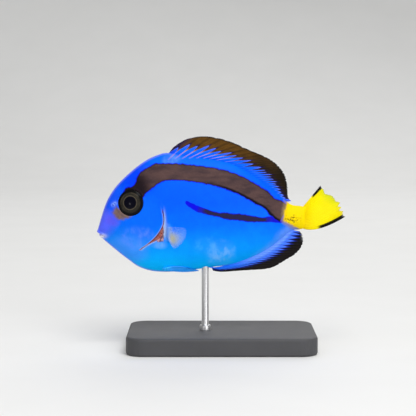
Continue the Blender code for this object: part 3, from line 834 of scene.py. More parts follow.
@dataclass(frozen=True)
class Skin:
    """One skin over the head, trunk and tail root, with its mouth, gill slits and sockets."""

    body: Body
    head_stations: int = 190
    trunk_stations: int = 250
    levels: int = 210
    even_share: float = 0.35
    fold: Line = Line((
        (0.02, 0.0), (0.06, -0.10), (0.02, -0.30), (-0.10, -0.48), (-0.28, -0.66),
        (-0.34, -0.86), (-0.22, -1.0), (0.05, -1.0), (0.35, -0.86), (0.62, -0.60),
        (0.85, -0.26), (1.0, 0.0)))
    fold_stations: int = 30
    closed_width: float = 0.25
    slit_width: Line = Line((
        (0.00, 0.10), (0.13, 0.10), (0.18, 0.12), (0.235, 0.15), (0.262, 0.36),
        (0.29, 0.78), (0.315, 0.86), (0.35, 0.56), (0.385, 0.24), (0.42, 0.10), (0.50, 0.08),
        (0.57, 0.08), (1.00, 0.08)))
    slit_depth: tuple[float, float] = (0.08, 0.38)
    slit_range: tuple[float, float] = (0.1, 0.86)
    slit_low: tuple[float, float] = (0.165, 0.21)
    slit_high: tuple[float, float] = (0.46, 0.58)
    wedge_top: tuple[float, float] = (0.40, 0.46)
    # Patch of the pale lower lip and its painted highlight.
    lip_and_highlight_patch: tuple[float, float] = (-13.38, 4.33)
    lip_and_highlight_patch_size: tuple[float, float] = (0.44, 0.24)
    # Width and rear end of the painted rim light along the head's outline.
    rim_light_width: tuple[float, float] = (0.06, 0.24)
    rim_light_end: tuple[float, float] = (-4.0, -8.0)
    comb_slit_width: tuple[float, float] = (0.10, 0.02)
    eye_place: tuple[float, float] = (-10.09, 8.19)
    eye_radius: float = 1.45
    mouth_front: tuple[float, float] = (-13.85, 4.72)
    mouth_corner: tuple[float, float] = (-13.05, 4.32)
    nostrils: Knots = ((-12.10, 7.84, 0.12), (-11.86, 8.02, 0.09))
    scalpel: tuple[float, float, float, float] = (7.95, 6.26, 0.55, 0.15)
    fin_pad: tuple[float, float, float, float] = (-5.78, 4.88, 0.36, 1.0)
    lips: tuple[tuple[float, float], ...] = ((0.16, 0.11), (-0.17, 0.12))
    lip_rise: float = 0.12
    mouth_depth: float = 0.34
    mouth_width: float = 0.05
    nostril_rise: float = 0.05
    nostril_depth: float = 0.16
    sheath_rise: float = 0.10
    sheath_groove: float = 0.05
    crease_depth: float = 0.022
    crease_width: float = 0.12
    pad_rise: float = 0.34
    socket_rise: float = 0.05
    socket_rim: float = 0.12
    socket_depth: float = 0.62
    cheek_crease: Line = Line((
        (-8.25, 8.7), (-7.9, 7.5), (-7.95, 6.3), (-8.4, 5.3), (-9.3, 4.6), (-10.6, 4.3)))
    band_top: Line = Line((
        (-11.0, 9.0), (-10.72, 9.62), (-10.2, 9.84), (-9.75, 10.0), (-9.52, 10.45),
        (-9.38, 10.95), (-8.95, 11.5), (-8.1, 12.1), (-7.2, 12.42),
        (-5.4, 12.42), (-3.4, 12.28), (-1.3, 12.0), (0.6, 11.6), (2.1, 11.05), (3.3, 10.45),
        (4.5, 9.75), (5.35, 9.15), (5.85, 8.6), (6.6, 8.3), (7.45, 7.85)))
    band_low: Line = Line((
        (6.5, 5.9), (6.05, 6.25), (5.4, 6.8), (4.8, 7.5), (3.9, 7.95), (2.6, 8.7), (1.1, 9.4),
        (-0.6, 9.95), (-2.4, 10.35), (-4.2, 10.6), (-6.1, 10.6), (-7.1, 10.2), (-7.9, 9.6),
        (-8.6, 9.1), (-8.8, 8.6), (-10.0, 8.0)))
    low_line: Line = Line((
        (-3.85, 8.1, 0.14), (-3.4, 7.78, 0.25), (-2.7, 7.42, 0.25), (-2.0, 7.18, 0.20),
        (-1.28, 6.93, 0.21), (-0.17, 6.70, 0.32), (0.95, 6.53, 0.32), (2.07, 6.45, 0.33),
        (3.18, 6.28, 0.26), (4.3, 6.17, 0.19), (5.4, 6.21, 0.25), (6.6, 6.2, 0.32)))
    yellow_edge: Line = Line((
        (7.35, 8.6), (7.22, 7.85), (7.05, 7.2), (6.98, 6.55), (7.0, 6.1), (7.45, 5.72),
        (8.0, 5.5), (8.6, 5.2), (8.9, 4.9)))
    raw_patch: Knots = (
        (-6.46, 5.35), (-6.44, 4.5), (-6.5, 3.72), (-7.1, 3.72), (-7.25, 4.1), (-6.85, 4.8))
    keel_zone: Knots = (
        (2.6, 0.9), (4.4, 2.5), (5.9, 3.6), (6.8, 4.9), (7.3, 5.5), (9.0, 5.4), (9.4, 4.4),
        (7.4, 3.0), (5.6, 1.8), (3.6, 1.0))
    gold_patch: Knots = (
        (-11.72, 7.55), (-12.2, 6.85), (-11.5, 6.22), (-10.5, 6.34), (-10.15, 6.62), (-10.6, 6.95))
    comb_slits: tuple[Knots, ...] = ()
    lateral_line: Line = Line((
        (-6.6, 10.4), (-4.6, 11.3), (-1.6, 11.5), (1.6, 10.6), (4.4, 8.9), (6.8, 7.0), (8.6, 6.4)))
    finish: SkinFinish = SkinFinish()

    def shares(self) -> np.ndarray:
        """Shares of the body's height at the levels, closer near the back and belly."""
        even = np.linspace(0, 1, self.levels + 1)
        return self.even_share * even + (1 - self.even_share) * (0.5 - 0.5 * np.cos(np.pi * even))

    def openness(self, share: np.ndarray) -> np.ndarray:
        """How open the gill slit is at a share of the body's height."""
        return ease(*self.slit_low, share) * (1 - ease(*self.slit_high, share))

    def slit_drop(self, width: np.ndarray) -> np.ndarray:
        """Depth of the gill slit where it is this wide."""
        return np.interp(width, self.slit_range, self.slit_depth)

    def surface(self) -> dict[str, np.ndarray]:
        """Left flank as a grid of stations and levels.

        Returns:
            Sizes along, out and up, and how deep in the gill slit each place lies.
        """
        body, share = self.body, self.shares()
        edge = body.gill.value(share)
        cover = body.cover_rise * ease(0.02, 0.15, share) * (1 - ease(0.50, 0.66, share))
        nothing = np.zeros_like(share)
        rows = []
        for station in range(1, self.head_stations + 1):
            reach = 1 - math.cos(0.5 * math.pi * station / self.head_stations)
            along = -body.half_length + reach * (edge + body.half_length)
            rows.append((along, cover * bell(edge - along, body.cover_fade), nothing))
        openness = self.openness(share)
        width = self.slit_width.value(share)
        depth = self.slit_drop(width) * openness
        steps = np.linspace(0, 1, self.fold_stations + 1)[1:]
        for step, (reach, sunk) in zip(steps, self.fold.at_share(steps)):
            along = edge + self.closed_width * step * (1 - openness) + width * reach * openness
            rows.append((along, cover * (1 - ease(0.0, 1.0, step)) + depth * sunk,
                         -sunk * openness))
        front = rows[-1][0]
        for reach in np.linspace(0, 1, self.trunk_stations + 1)[1:]:
            rows.append((front + reach * (body.end - front), nothing, nothing))
        along, rise, gill = (np.array(column) for column in zip(*rows))
        low = body.belly.value(along)
        height = low + share * (body.back.value(along) - low)
        fall = body.edge_fall(share)
        width = body.girth.value(along) * fall ** body.rounding + rise * fall
        width[:, [0, -1]] = 0.0
        return {"along": along, "width": width, "height": height, "gill": gill,
                "share": np.broadcast_to(share, along.shape),
                "front": np.broadcast_to(front, along.shape)}

    def relief(self, grid: dict[str, np.ndarray]) -> np.ndarray:
        """Height of the lips, nostrils, socket rims and spine sheath over the smooth skin.

        Args:
            grid: the flank as its surface method gives it.

        Returns:
            Height in millimetres at each place.
        """
        along, height, width = grid["along"], grid["height"], grid["width"]
        run = np.subtract(self.mouth_corner, self.mouth_front)
        length = float(np.hypot(*run))
        way = run / length
        past = (along - self.mouth_front[0]) * way[0] + (height - self.mouth_front[1]) * way[1]
        off = (height - self.mouth_front[1]) * way[0] - (along - self.mouth_front[0]) * way[1]
        swell = 1 - ease(length * 0.2, length + 0.12, past)
        rise = self.lip_rise * sum(bell(off - place, half) for place, half in self.lips) * swell
        cut = 1 - ease(length - 0.12, length + 0.06, past)
        rise -= self.mouth_depth * bell(off, self.mouth_width) * cut
        for place, high, radius in self.nostrils:
            far = np.hypot(along - place, height - high)
            rise += self.nostril_rise * bell(far - radius * 1.4, radius * 0.5)
            rise -= self.nostril_depth * bell(far, radius * 0.8)
        rise += self.socket(along, width, height)
        middle, level, reach, half = self.scalpel
        oval = np.hypot((along - middle) / reach, (height - level) / half)
        rise += self.sheath_rise * np.maximum(1 - oval ** 2, 0)
        rise -= self.sheath_groove * bell(oval - 1.2, 0.22)
        crease, run = near_line(along, height, self.cheek_crease.thinned(60))
        depth = self.crease_depth * np.sin(np.pi * run) ** 0.6
        rise -= depth * bell(crease, self.crease_width)
        place, level, reach, half = self.fin_pad
        pad = np.hypot((along - place) / reach, (height - level) / half)
        rise += self.pad_rise * (1 - ease(0.35, 1.25, pad))
        return rise * (grid["gill"] < 0.05)

    def socket(self, along: np.ndarray, width: np.ndarray, height: np.ndarray) -> np.ndarray:
        """Rim and hollow round the eye.

        Args:
            along: places along the body.
            width: their distance from the middle plane.
            height: their heights.

        Returns:
            Height of the rim, negative in the hollow.
        """
        place, level = self.eye_place
        normal = self.body.normal(Side.RIGHT, place, level)
        apart = np.stack([along - place, width - self.body.half_width(place, level),
                          height - level], axis=-1)
        out = apart @ np.array(normal)
        radius = np.linalg.norm(apart - out[..., None] * np.array(normal), axis=-1)
        rim = self.socket_rise * bell(radius - self.eye_radius - self.socket_rim, self.socket_rim)
        wall = ease(self.eye_radius + 0.03, self.eye_radius - 0.14, radius)
        return rim - self.socket_depth * wall

    def marks(self, grid: dict[str, np.ndarray]) -> dict[str, np.ndarray]:
        """Distances from the markings, for the finish.

        Args:
            grid: the flank as its surface method gives it.

        Returns:
            Numbers of each mark; those of zones are positive inside.
        """
        along, height = self.body.as_seen(grid["along"], grid["width"], grid["height"])
        band = np.vstack([self.band_top.thinned(70), self.band_low.thinned(70)])
        line_points = self.low_line.thinned(80)
        gap, share = near_line(along, height, line_points)
        half = np.interp(share, np.linspace(0, 1, len(self.low_line.points)),
                         self.low_line.points[:, 2])
        edge = self.yellow_edge.thinned(60)
        tail = np.vstack([edge, [(12.0, 4.0), (12.0, 9.5)]])
        lateral, _ = near_line(along, height, self.lateral_line.thinned(60))
        nostril = sum(bell(np.hypot(along - place, height - high), 0.22)
                      for place, high, _ in self.nostrils)
        middle, level, reach, tall = self.scalpel
        # Pale lower lip and its painted highlight.
        lips = bell(np.hypot((along - self.lip_and_highlight_patch[0]) / self.lip_and_highlight_patch_size[0],
                             (height - self.lip_and_highlight_patch[1]) / self.lip_and_highlight_patch_size[1]), 1.0)
        outline = np.vstack([self.body.belly.thinned(160)[::-1], self.body.back.thinned(160)])
        brim, _ = near_line(grid["along"], grid["height"], outline)
        brink, _ = near_line(along, height, self.band_low.thinned(70))
        slits = np.zeros(along.shape)
        for slit in self.comb_slits:
            apart, run = near_line(grid["along"], grid["height"], np.array(slit))
            slits = np.maximum(slits, ease(*self.comb_slit_width, apart) * (1 - 0.7 * run))
        openness = self.openness(grid["share"])
        ahead = self.body.gill.value(grid["share"]) - grid["along"]
        behind = grid["along"] - grid["front"]
        hem = np.where(ahead > 0, bell(ahead, 0.07) * 0.7,
                       bell(behind, 0.16 + 0.20 * bell(grid["share"] - 0.36, 0.06))
                       * (behind >= 0)) * openness
        return {
            "band": inside_zone(along, height, band),
            "brink": brink,
            "line": half - gap,
            "yellow": inside_zone(along, height, tail),
            "gold": inside_zone(along, height, np.array(self.gold_patch)),
            "raw": inside_zone(along, height, np.array(self.raw_patch)),
            "keel": inside_zone(along, height, np.array(self.keel_zone)),
            "lateral": bell(lateral, 0.09),
            "nostril": np.clip(nostril, 0, 1),
            "slits": slits,
            "scalpel": 1 - ease(0.8, 2.2, np.hypot((along - middle) / reach,
                                                   (height - level) / (2 * tall))),
            "lips": lips,
            "gill": grid["gill"],
            "wedge": 1 - ease(*self.wedge_top, grid["share"]),
            "hem": hem,
            # rim: painted rim light along the head's outline, fading out towards the tail.
            "rim": (1 - ease(*self.rim_light_width, brim)) * ease(*self.rim_light_end, grid["along"]),
        }

    def around(self, flank: np.ndarray) -> np.ndarray:
        """Numbers of one flank, carried on down the other."""
        return np.concatenate([flank, flank[:, -2:0:-1]], axis=1)

    def build(self) -> bpy.types.Object:
        """Makes the skin and hands it the place of the solids of the body.

        Returns:
            The skin.
        """
        grid = self.surface()
        sign = self.around(-np.ones_like(grid["width"]))
        sign[:, self.levels + 1:] = 1.0
        loops = world(self.around(grid["along"]), self.around(grid["width"]) * sign,
                      self.around(grid["height"]))
        tip = world(-self.body.half_length, 0.0, self.body.snout_height)
        points, faces = closed_rings(loops, tip, loops[-1].mean(axis=0))
        marks = {label: np.append(self.around(values).ravel(), [values[0, 0], values[-1, 0]])
                 for label, values in self.marks(grid).items()}
        skin = make_object("tang_skin", points, faces, marks)
        normals = np.zeros(len(points) * 3, np.float32)
        skin.data.vertex_normals.foreach_get("vector", normals)
        rise = np.append(self.around(self.relief(grid)).ravel(), [0.0, 0.0])
        moved = points + normals.reshape(-1, 3) * rise[:, None] * MM
        skin.data.vertices.foreach_set("co", moved.astype(np.float32).ravel())
        skin.data.update()
        skin.data.materials.append(self.finish.build())
        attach(skin, "root")
        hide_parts("head", "torso", "tail_peduncle")
        return skin


@dataclass(frozen=True)
class EyeFinish:
    """Dark glossy eye with thin rings round a blue-black pupil."""

    pupil: Colour = paint(3, 3, 16)
    iris: Colour = paint(24, 26, 24)
    iris_fleck: Colour = paint(52, 48, 40)
    rim: Colour = paint(8, 8, 10)
    ring: Colour = paint(96, 86, 72)
    pupil_radius: float = 0.68
    ring_radius: float = 0.77
    inner_ring: float = 0.94
    outer_ring: float = 1.10

    def build(self) -> bpy.types.Material:
        """Makes the material, ring by ring from the rim inwards.

        Returns:
            The material.
        """
        tree = Tree("tang_eye", Specular_IOR_Level=0.03, Coat_Weight=0.10, Coat_Roughness=0.10)
        radius = tree.mark("radius") + (tree.noise(2.2, 2.0) - 0.5) * 0.05
        speckle = tree.noise(9.0, 3.0)
        colour = tree.mix(radius.ease(1.02, 1.24), tree.shade(
            tree.mix(speckle, self.iris, self.iris_fleck), 0.75 + speckle * 0.5), self.rim)
        broken = tree.noise(1.3, 2.0).ease(0.40, 0.62)
        colour = tree.mix((radius - self.outer_ring).hump(0.06) * broken * 0.5, colour, self.ring)
        colour = tree.mix((radius - self.inner_ring).hump(0.04) * broken * 0.3, colour, self.ring)
        colour = tree.mix((radius - self.ring_radius).hump(0.06) * (0.5 + speckle * 0.5),
                          colour, self.ring)
        colour = tree.mix(1 - radius.ease(self.pupil_radius - 0.02, self.pupil_radius + 0.03),
                          colour, self.pupil)
        relief = radius.ease(self.pupil_radius, self.pupil_radius + 0.08) * 0.6 + speckle * 0.25
        return tree.finish(colour, 0.25 + speckle * 0.2, relief, 0.03)


@dataclass(frozen=True)
class Eye:
    """Flat dome of one eye, sunk in its socket."""

    body: Body
    side: Side
    place: tuple[float, float] = (-10.09, 8.19)
    radius: float = 1.44
    dome: float = 0.30
    edge_depth: float = 0.08
    back_depth: float = 0.5
    skirt: Knots = ((0.01, -0.16), (-0.02, -0.3), (-0.288, -0.5))
    rings: int = 40
    segments: int = 96
    finish: EyeFinish = EyeFinish()

    def build(self) -> bpy.types.Object:
        """Makes the eye and hands it the place of its solid.

        Returns:
            The eye.
        """
        along, height = self.place
        normal = self.body.normal(self.side, along, height)
        up = (Vector((0, 0, 1)) - normal * normal.z).normalized()
        across = up.cross(normal)
        sideways = self.side.value * float(self.body.half_width(along, height))
        shares = np.sin(np.linspace(0, 0.5 * math.pi, self.rings + 1))[1:]
        radii = np.append(shares * self.radius, [self.radius + out for out, _ in self.skirt])
        depths = np.append(self.dome * (1 - shares ** 2) - self.edge_depth,
                           [depth for _, depth in self.skirt])
        turns = np.linspace(0, 2 * math.pi, self.segments, endpoint=False)
        centre = np.array([along, sideways, height])
        rings = (centre + radii[:, None, None] * (np.cos(turns)[None, :, None] * np.array(across)
                                                  + np.sin(turns)[None, :, None] * np.array(up))
                 + depths[:, None, None] * np.array(normal))
        front = centre + np.array(normal) * (self.dome - self.edge_depth)
        back = centre - np.array(normal) * self.back_depth
        points, faces = closed_rings(world(*np.moveaxis(rings, -1, 0)), world(*front), world(*back))
        marks = {"radius": np.append(np.repeat(radii, self.segments), [0.0, 0.0])}
        eye = make_object(f"eyeball_{self.side.word}", points, faces, marks)
        eye.data.materials.append(self.finish.build())
        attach(eye, "root")
        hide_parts(f"eye_{self.side.word}")
        return eye


@dataclass(frozen=True)
class GillFinish:
    """Moist red filaments with paler tips."""

    root: Colour = paint(140, 40, 36)
    tip: Colour = paint(208, 132, 118)

    def build(self) -> bpy.types.Material:
        """Makes the material.

        Returns:
            The material.
        """
        tree = Tree("gill_filaments", Specular_IOR_Level=0.5, Coat_Weight=0.3)
        fine = tree.noise(7.0, 3.0)
        colour = tree.shade(tree.mix(tree.mark("out"), self.root, self.tip), 0.75 + fine * 0.5)
        return tree.finish(colour, 0.25 + fine * 0.2, fine, 0.01)


@dataclass(frozen=True)
class Gills:
    """Rows of filaments that show in the slit behind one gill cover."""

    body: Body
    skin: Skin
    side: Side
    filaments: int = 18
    shares: tuple[float, float] = (0.262, 0.40)
    radius: float = 0.05
    stations: int = 10
    sides: int = 8
    flatness: float = 0.7
    start: float = -0.15
    reach: float = 0.95
    uneven: float = 0.12
    lift: float = 0.05
    droop: float = 0.30
    clear: float = 0.02
    arch: float = 0.07
    finish: GillFinish = GillFinish()

    def build(self) -> bpy.types.Object:
        """Makes the filaments of one side, each a tapered tube in the slit.

        Returns:
            The filaments, as one piece.
        """
        shapes, outs = [], []
        floor = self.skin.fold.points[len(self.skin.fold.points) // 2:]
        for number, share in enumerate(np.linspace(*self.shares, self.filaments)):
            wide = float(self.skin.slit_width.value(share))
            deep = float(self.skin.slit_drop(wide))
            edge = float(self.body.gill.value(share))
            low = self.body.belly.value(edge)
            level = float(low + share * (self.body.back.value(edge) - low))
            t = np.linspace(0, 1, self.stations)
            reach = self.start + (self.reach + self.uneven * math.sin(number * 2.4)) * t
            along = edge + wide * reach
            height = level + self.lift - self.droop * wide * t ** 1.5
            sunk = np.interp(reach, floor[:, 0], floor[:, 1]) * deep
            width = self.body.half_width(along, height) + sunk + self.clear
            path = world(along, self.side.value * (width + self.arch * np.sin(np.pi * t)), height)
            thick = 0.55 + 0.45 * wide / self.skin.slit_range[1]
            radii = self.radius * thick * (1 - 0.55 * t ** 2) * MM
            shapes.append(tube(path, radii, self.sides, self.flatness))
            outs.append(np.append(np.repeat(t, self.sides), [0.0, 1.0]))
        points, faces = gather(shapes)
        gills = make_object(f"gill_filaments_{self.side.word}", points, faces,
                            {"out": np.concatenate(outs)})
        gills.data.materials.append(self.finish.build())
        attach(gills, "root")
        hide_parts(f"gills_{self.side.word}")
        return gills


@dataclass(frozen=True)
class RayFin:
    """Fin of a thin membrane on rays that stand out on both of its faces.

    Args:
        body: shape of the body that it grows from.
        pitches: relative distance between the rays, one for each ray.
        rows: number of rows from the root to the margin.
        between: number of columns from one ray to the next.
        membrane: thickness between the rays.
        fleshy: thickness that the root adds.
        fleshy_fade: distance over which that fades.
        ray_rise: height of a ray over the membrane.
        ray_width: half width of a ray, as a share of its pitch.
        fork: how far a ray's two branches part, as a share of its pitch.
        unforked: number of spines at the front, which don't branch.
        notch: depth of the scallops between the ray tips, as a share of their length.
        fray: depth of the wider dips of the margin, as a share of the rays' length.
        fray_waves: how fast those dips follow each other, and how fast that changes.
        sink: how far the root reaches into the body.
    """

    body: Body
    pitches: tuple[float, ...]
    rows: int = 44
    between: int = 10
    membrane: float = 0.05
    fleshy: float = 0.34
    fleshy_fade: float = 0.45
    ray_rise: float = 0.045
    ray_width: float = 0.17
    fork: float = 0.23
    unforked: int = 0
    notch: float = 0.02
    fray: float = 0.0
    fray_waves: tuple[float, float] = (33.0, 9.0)
    sink: float = 1.0

    def rootward(self, way: np.ndarray) -> np.ndarray:
        """Way from the root into the body, from the way back along the rays."""
        return way

    def gap(self, across: np.ndarray) -> np.ndarray:
        """Distance of the root from the body, which closes at both ends."""
        return GAP * (1 - 0.85 * np.maximum(ease(0.85, 1.0, across), ease(0.10, 0.0, across)))

    def middle(self, across: np.ndarray, out: np.ndarray) -> np.ndarray:
        """Middle surface in millimetres, at shares across the rays and out along them."""
        raise NotImplementedError

    def marks(self, grid: dict[str, np.ndarray]) -> dict[str, np.ndarray]:
        """Numbers for the finish."""
        return {label: grid[label] for label in ("ray", "out", "across", "margin")}

    def grid(self) -> dict[str, np.ndarray]:
        """Grid of the fin's middle surface and what is known at each of its points.

        Returns:
            Points, the share across and out, the place between rays, the distance to the
            margin and the half thickness.
        """
        ends = np.concatenate([[0.0], np.cumsum(self.pitches)])
        count = len(self.pitches) * self.between
        place = (np.arange(count + 1)) / self.between
        across = np.interp(place, np.arange(len(ends)), ends) / ends[-1]
        ray = place - np.floor(place) - 0.5
        ray[-1] = 0.5
        number = np.minimum(np.floor(place), len(self.pitches) - 1)
        out = np.linspace(0, 1, self.rows + 1) ** 0.9
        across, out = np.meshgrid(across, out, indexing="ij")
        ray = np.broadcast_to(ray[:, None], across.shape)
        number = np.broadcast_to(number[:, None], across.shape)
        uneven = 1 + 0.7 * np.sin(2.3 * np.floor(place + 0.5))[:, None]
        quick, slow = self.fray_waves
        frayed = self.fray * (0.5 + 0.5 * np.sin(quick * across + 2.0 * np.sin(slow * across)))
        frayed = frayed * np.sqrt(4 * across * (1 - across))
        scallop = 1 - (self.notch * uneven * (2 * np.abs(ray)) ** 2 + frayed) * ease(0.8, 1.0, out)
        points = self.middle(across, out * scallop)
        lengths = np.linalg.norm(points[:, -1:] - points[:, :1], axis=2)
        root = np.linalg.norm(points - points[:, :1], axis=2)
        parted = self.fork * ease(0.30, 1.0, out) * (number >= self.unforked)
        ridge = bell((np.abs(ray) - parted) / self.ray_width, 1.0)
        flesh = self.fleshy / 2 * np.sin(np.pi * np.clip(across, 0.004, 0.996)) ** 0.5
        half = self.membrane / 2 * (1 - 0.4 * out) + flesh * bell(root, self.fleshy_fade)
        half = half + self.ray_rise * ridge * (1 - 0.7 * out)
        ends_fade = ease(0.0, 0.03, across) * ease(1.0, 0.97, across)
        half = half * (0.25 + 0.75 * ends_fade)
        half[:, -1] = 0.008
        way = points[:, :1] - points[:, 1:2]
        way = self.rootward(way / np.maximum(np.linalg.norm(way, axis=2, keepdims=True), 1e-9))
        depths = np.array([1.0, 0.6, 0.25]) * self.sink
        sunk = points[:, :1] + way * depths[None, :, None]

        def widen(values: np.ndarray) -> np.ndarray:
            """Values of the root carried on into the body."""
            return np.concatenate([np.repeat(values[:, :1], len(depths), axis=1), values], axis=1)

        rows = np.arange(sunk.shape[1] + points.shape[1])
        return {"points": np.concatenate([sunk, points], axis=1), "across": widen(across),
                "out": widen(out), "ray": widen(np.array(ray)), "number": widen(np.array(number)),
                "half": widen(half), "margin": widen(lengths * (1 - out)),
                "sunk": np.broadcast_to(rows < sunk.shape[1], (len(points), len(rows)))}

    def make(self, name: str) -> bpy.types.Object:
        """Closed fin round its middle surface.

        Args:
            name: name of the piece.

        Returns:
            The object.
        """
        grid = self.grid()
        middle = grid["points"]
        normals = np.cross(np.gradient(middle, axis=0), np.gradient(middle, axis=1))
        normals /= np.maximum(np.linalg.norm(normals, axis=2, keepdims=True), 1e-12)
        sheets = [middle + sign * normals * grid["half"][..., None] for sign in (-1, 1)]
        flat = np.vstack([sheet.reshape(-1, 3) for sheet in sheets])
        points = world(flat[:, 0], flat[:, 1], flat[:, 2])
        columns, rows = middle.shape[:2]
        near = np.arange(columns * rows).reshape(columns, rows)
        far = near + columns * rows
        faces = []
        for first, second in zip(near.tolist(), near.tolist()[1:]):
            faces += strip(first, second, False)
        for first, second in zip(far.tolist(), far.tolist()[1:]):
            faces += [tuple(reversed(face)) for face in strip(first, second, False)]
        rim = [part.tolist() for part in (near[0, :], near[1:, -1], near[-1, -2::-1],
                                          near[-2:0:-1, 0])]
        loop = [number for part in rim for number in part]
        faces += strip([number + columns * rows for number in loop], loop)
        marks = {label: np.tile(values.ravel(), 2) for label, values in self.marks(grid).items()}
        return make_object(name, points, face_outwards(points, faces), marks)

    def dress(self, name: str, node: str, slot: Slot,
              finish: bpy.types.Material) -> bpy.types.Object:
        """Makes the fin, gives it its finish and hands it the place of its solid.

        Args:
            name: name of the piece.
            node: node that it replaces.
            slot: slot of its material; only read to keep clear fins from casting shadows.
            finish: its material.

        Returns:
            The fin.
        """
        fin = self.make(name)
        fin.data.materials.append(finish)
        fin.visible_shadow = slot is not Slot.CLEAR_FIN
        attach(fin, "root")
        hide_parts(node)
        return fin


@dataclass(frozen=True)
class MedianFin(RayFin):
    """Fin in the middle plane, whose rays sweep to the rear.

    Args:
        base: places along the body where the root starts and ends.
        margin: line that the tips of the rays lie on.
        sweep: power by which the tips run ahead of the roots.
        sway: how far the margin sways sideways.
        waves: how fast that sway turns along the fin, and where it starts.
        longest: length of a ray past which its marks grow no more.
    """

    base: tuple[float, float] = (0.0, 1.0)
    margin: Line = Line(((0.0, 0.0), (1.0, 1.0)))
    sweep: float = 1.0
    sway: float = 0.0
    waves: tuple[float, float] = (1.0, 0.0)
    longest: float = 3.6

    def ray_length(self, grid: dict[str, np.ndarray]) -> np.ndarray:
        """Length of the ray that each point is on, held below the longest."""
        return np.minimum(grid["margin"] / np.maximum(1 - grid["out"], 1e-3), self.longest)

    def foot(self, along: np.ndarray, across: np.ndarray) -> np.ndarray:
        """Height of the root at places along the body."""
        raise NotImplementedError

    def middle(self, across: np.ndarray, out: np.ndarray) -> np.ndarray:
        """Middle surface, nearly in the middle plane.

        Args:
            across: share of the way across the rays, one number for each place.
            out: share of the way out along the rays.

        Returns:
            Points in millimetres, with their three sizes on the last axis.
        """
        along = self.base[0] + across * (self.base[1] - self.base[0])
        root = np.stack([along, self.foot(along, across)], axis=-1)
        flat = root + out[..., None] * (self.margin.at_share(across ** self.sweep) - root)
        sway = self.sway * np.sin(across * self.waves[0] + self.waves[1]) * out ** 2
        return np.stack([flat[..., 0], sway, flat[..., 1]], axis=-1)


@dataclass(frozen=True)
class DorsalFinish:
    """Brown fin with a comb of blue teeth at its root and a black rim."""

    blue: Colour = paint(0, 96, 246)
    tooth_tip: Colour = paint(72, 96, 232)
    edge: Colour = paint(126, 150, 250)
    front: Colour = paint(24, 28, 200)
    gap: Colour = paint(16, 14, 66)
    slit: Colour = paint(220, 166, 140)
    brown: Colour = paint(92, 62, 20)
    dark: Colour = paint(36, 26, 14)
    black: Colour = paint(14, 11, 8)

    def build(self) -> bpy.types.Material:
        """Makes the material.

        Returns:
            The material.
        """
        tree = Tree("dorsal_fin", Specular_IOR_Level=0.06)
        out, across, ray = tree.mark("out"), tree.mark("across"), tree.mark("ray")
        cloud, fine = tree.noise(0.8, 3.0), tree.noise(6.0, 2.0)
        streak = tree.noise(2.4, 3.0, (0.35, 1.0, 1.0))
        brown = tree.mix((across + (cloud - 0.5) * 0.3).ease(0.25, 0.78), self.brown, self.dark)
        brown = tree.shade(brown, 0.45 + streak * 1.0)
        brown = tree.mix(abs(ray).ease(0.30, 0.05) * 0.35, brown, self.black)
        margin = tree.mark("margin") + (fine - 0.5) * 0.08
        brown = tree.mix(margin.ease(0.34, 0.06) * 0.85, brown, self.black)
        brown = tree.mix(across.ease(0.09, 0.02) * 0.8, brown, self.gap)
        comb = tree.mark("comb") + (fine - 0.5) * 0.04
        colour = tree.mix(comb.ease(-0.24, -0.04) * (0.5 + cloud * 0.6), brown, self.gap)
        blue = tree.mix(tree.mark("tip").ease(0.40, 1.0), self.blue, self.tooth_tip)
        blue = tree.mix(across.ease(0.07, 0.0) * 0.7, blue, self.front)
        colour = tree.mix(comb.ease(-0.05, 0.04), colour, tree.shade(blue, 0.9 + fine * 0.2))
        colour = tree.mix((comb - 0.03).hump(0.06) * 0.35, colour, self.edge)
        colour = tree.mix(tree.mark("slit") * 0.8, colour, self.slit)
        alpha = 1 - margin.ease(0.16, 0.0) * 0.55
        relief = fine * 0.4 + (out * 90).wave() * 0.12 + streak * 0.3
        return tree.finish(colour, 0.5 + fine * 0.15, relief, 0.008, alpha)


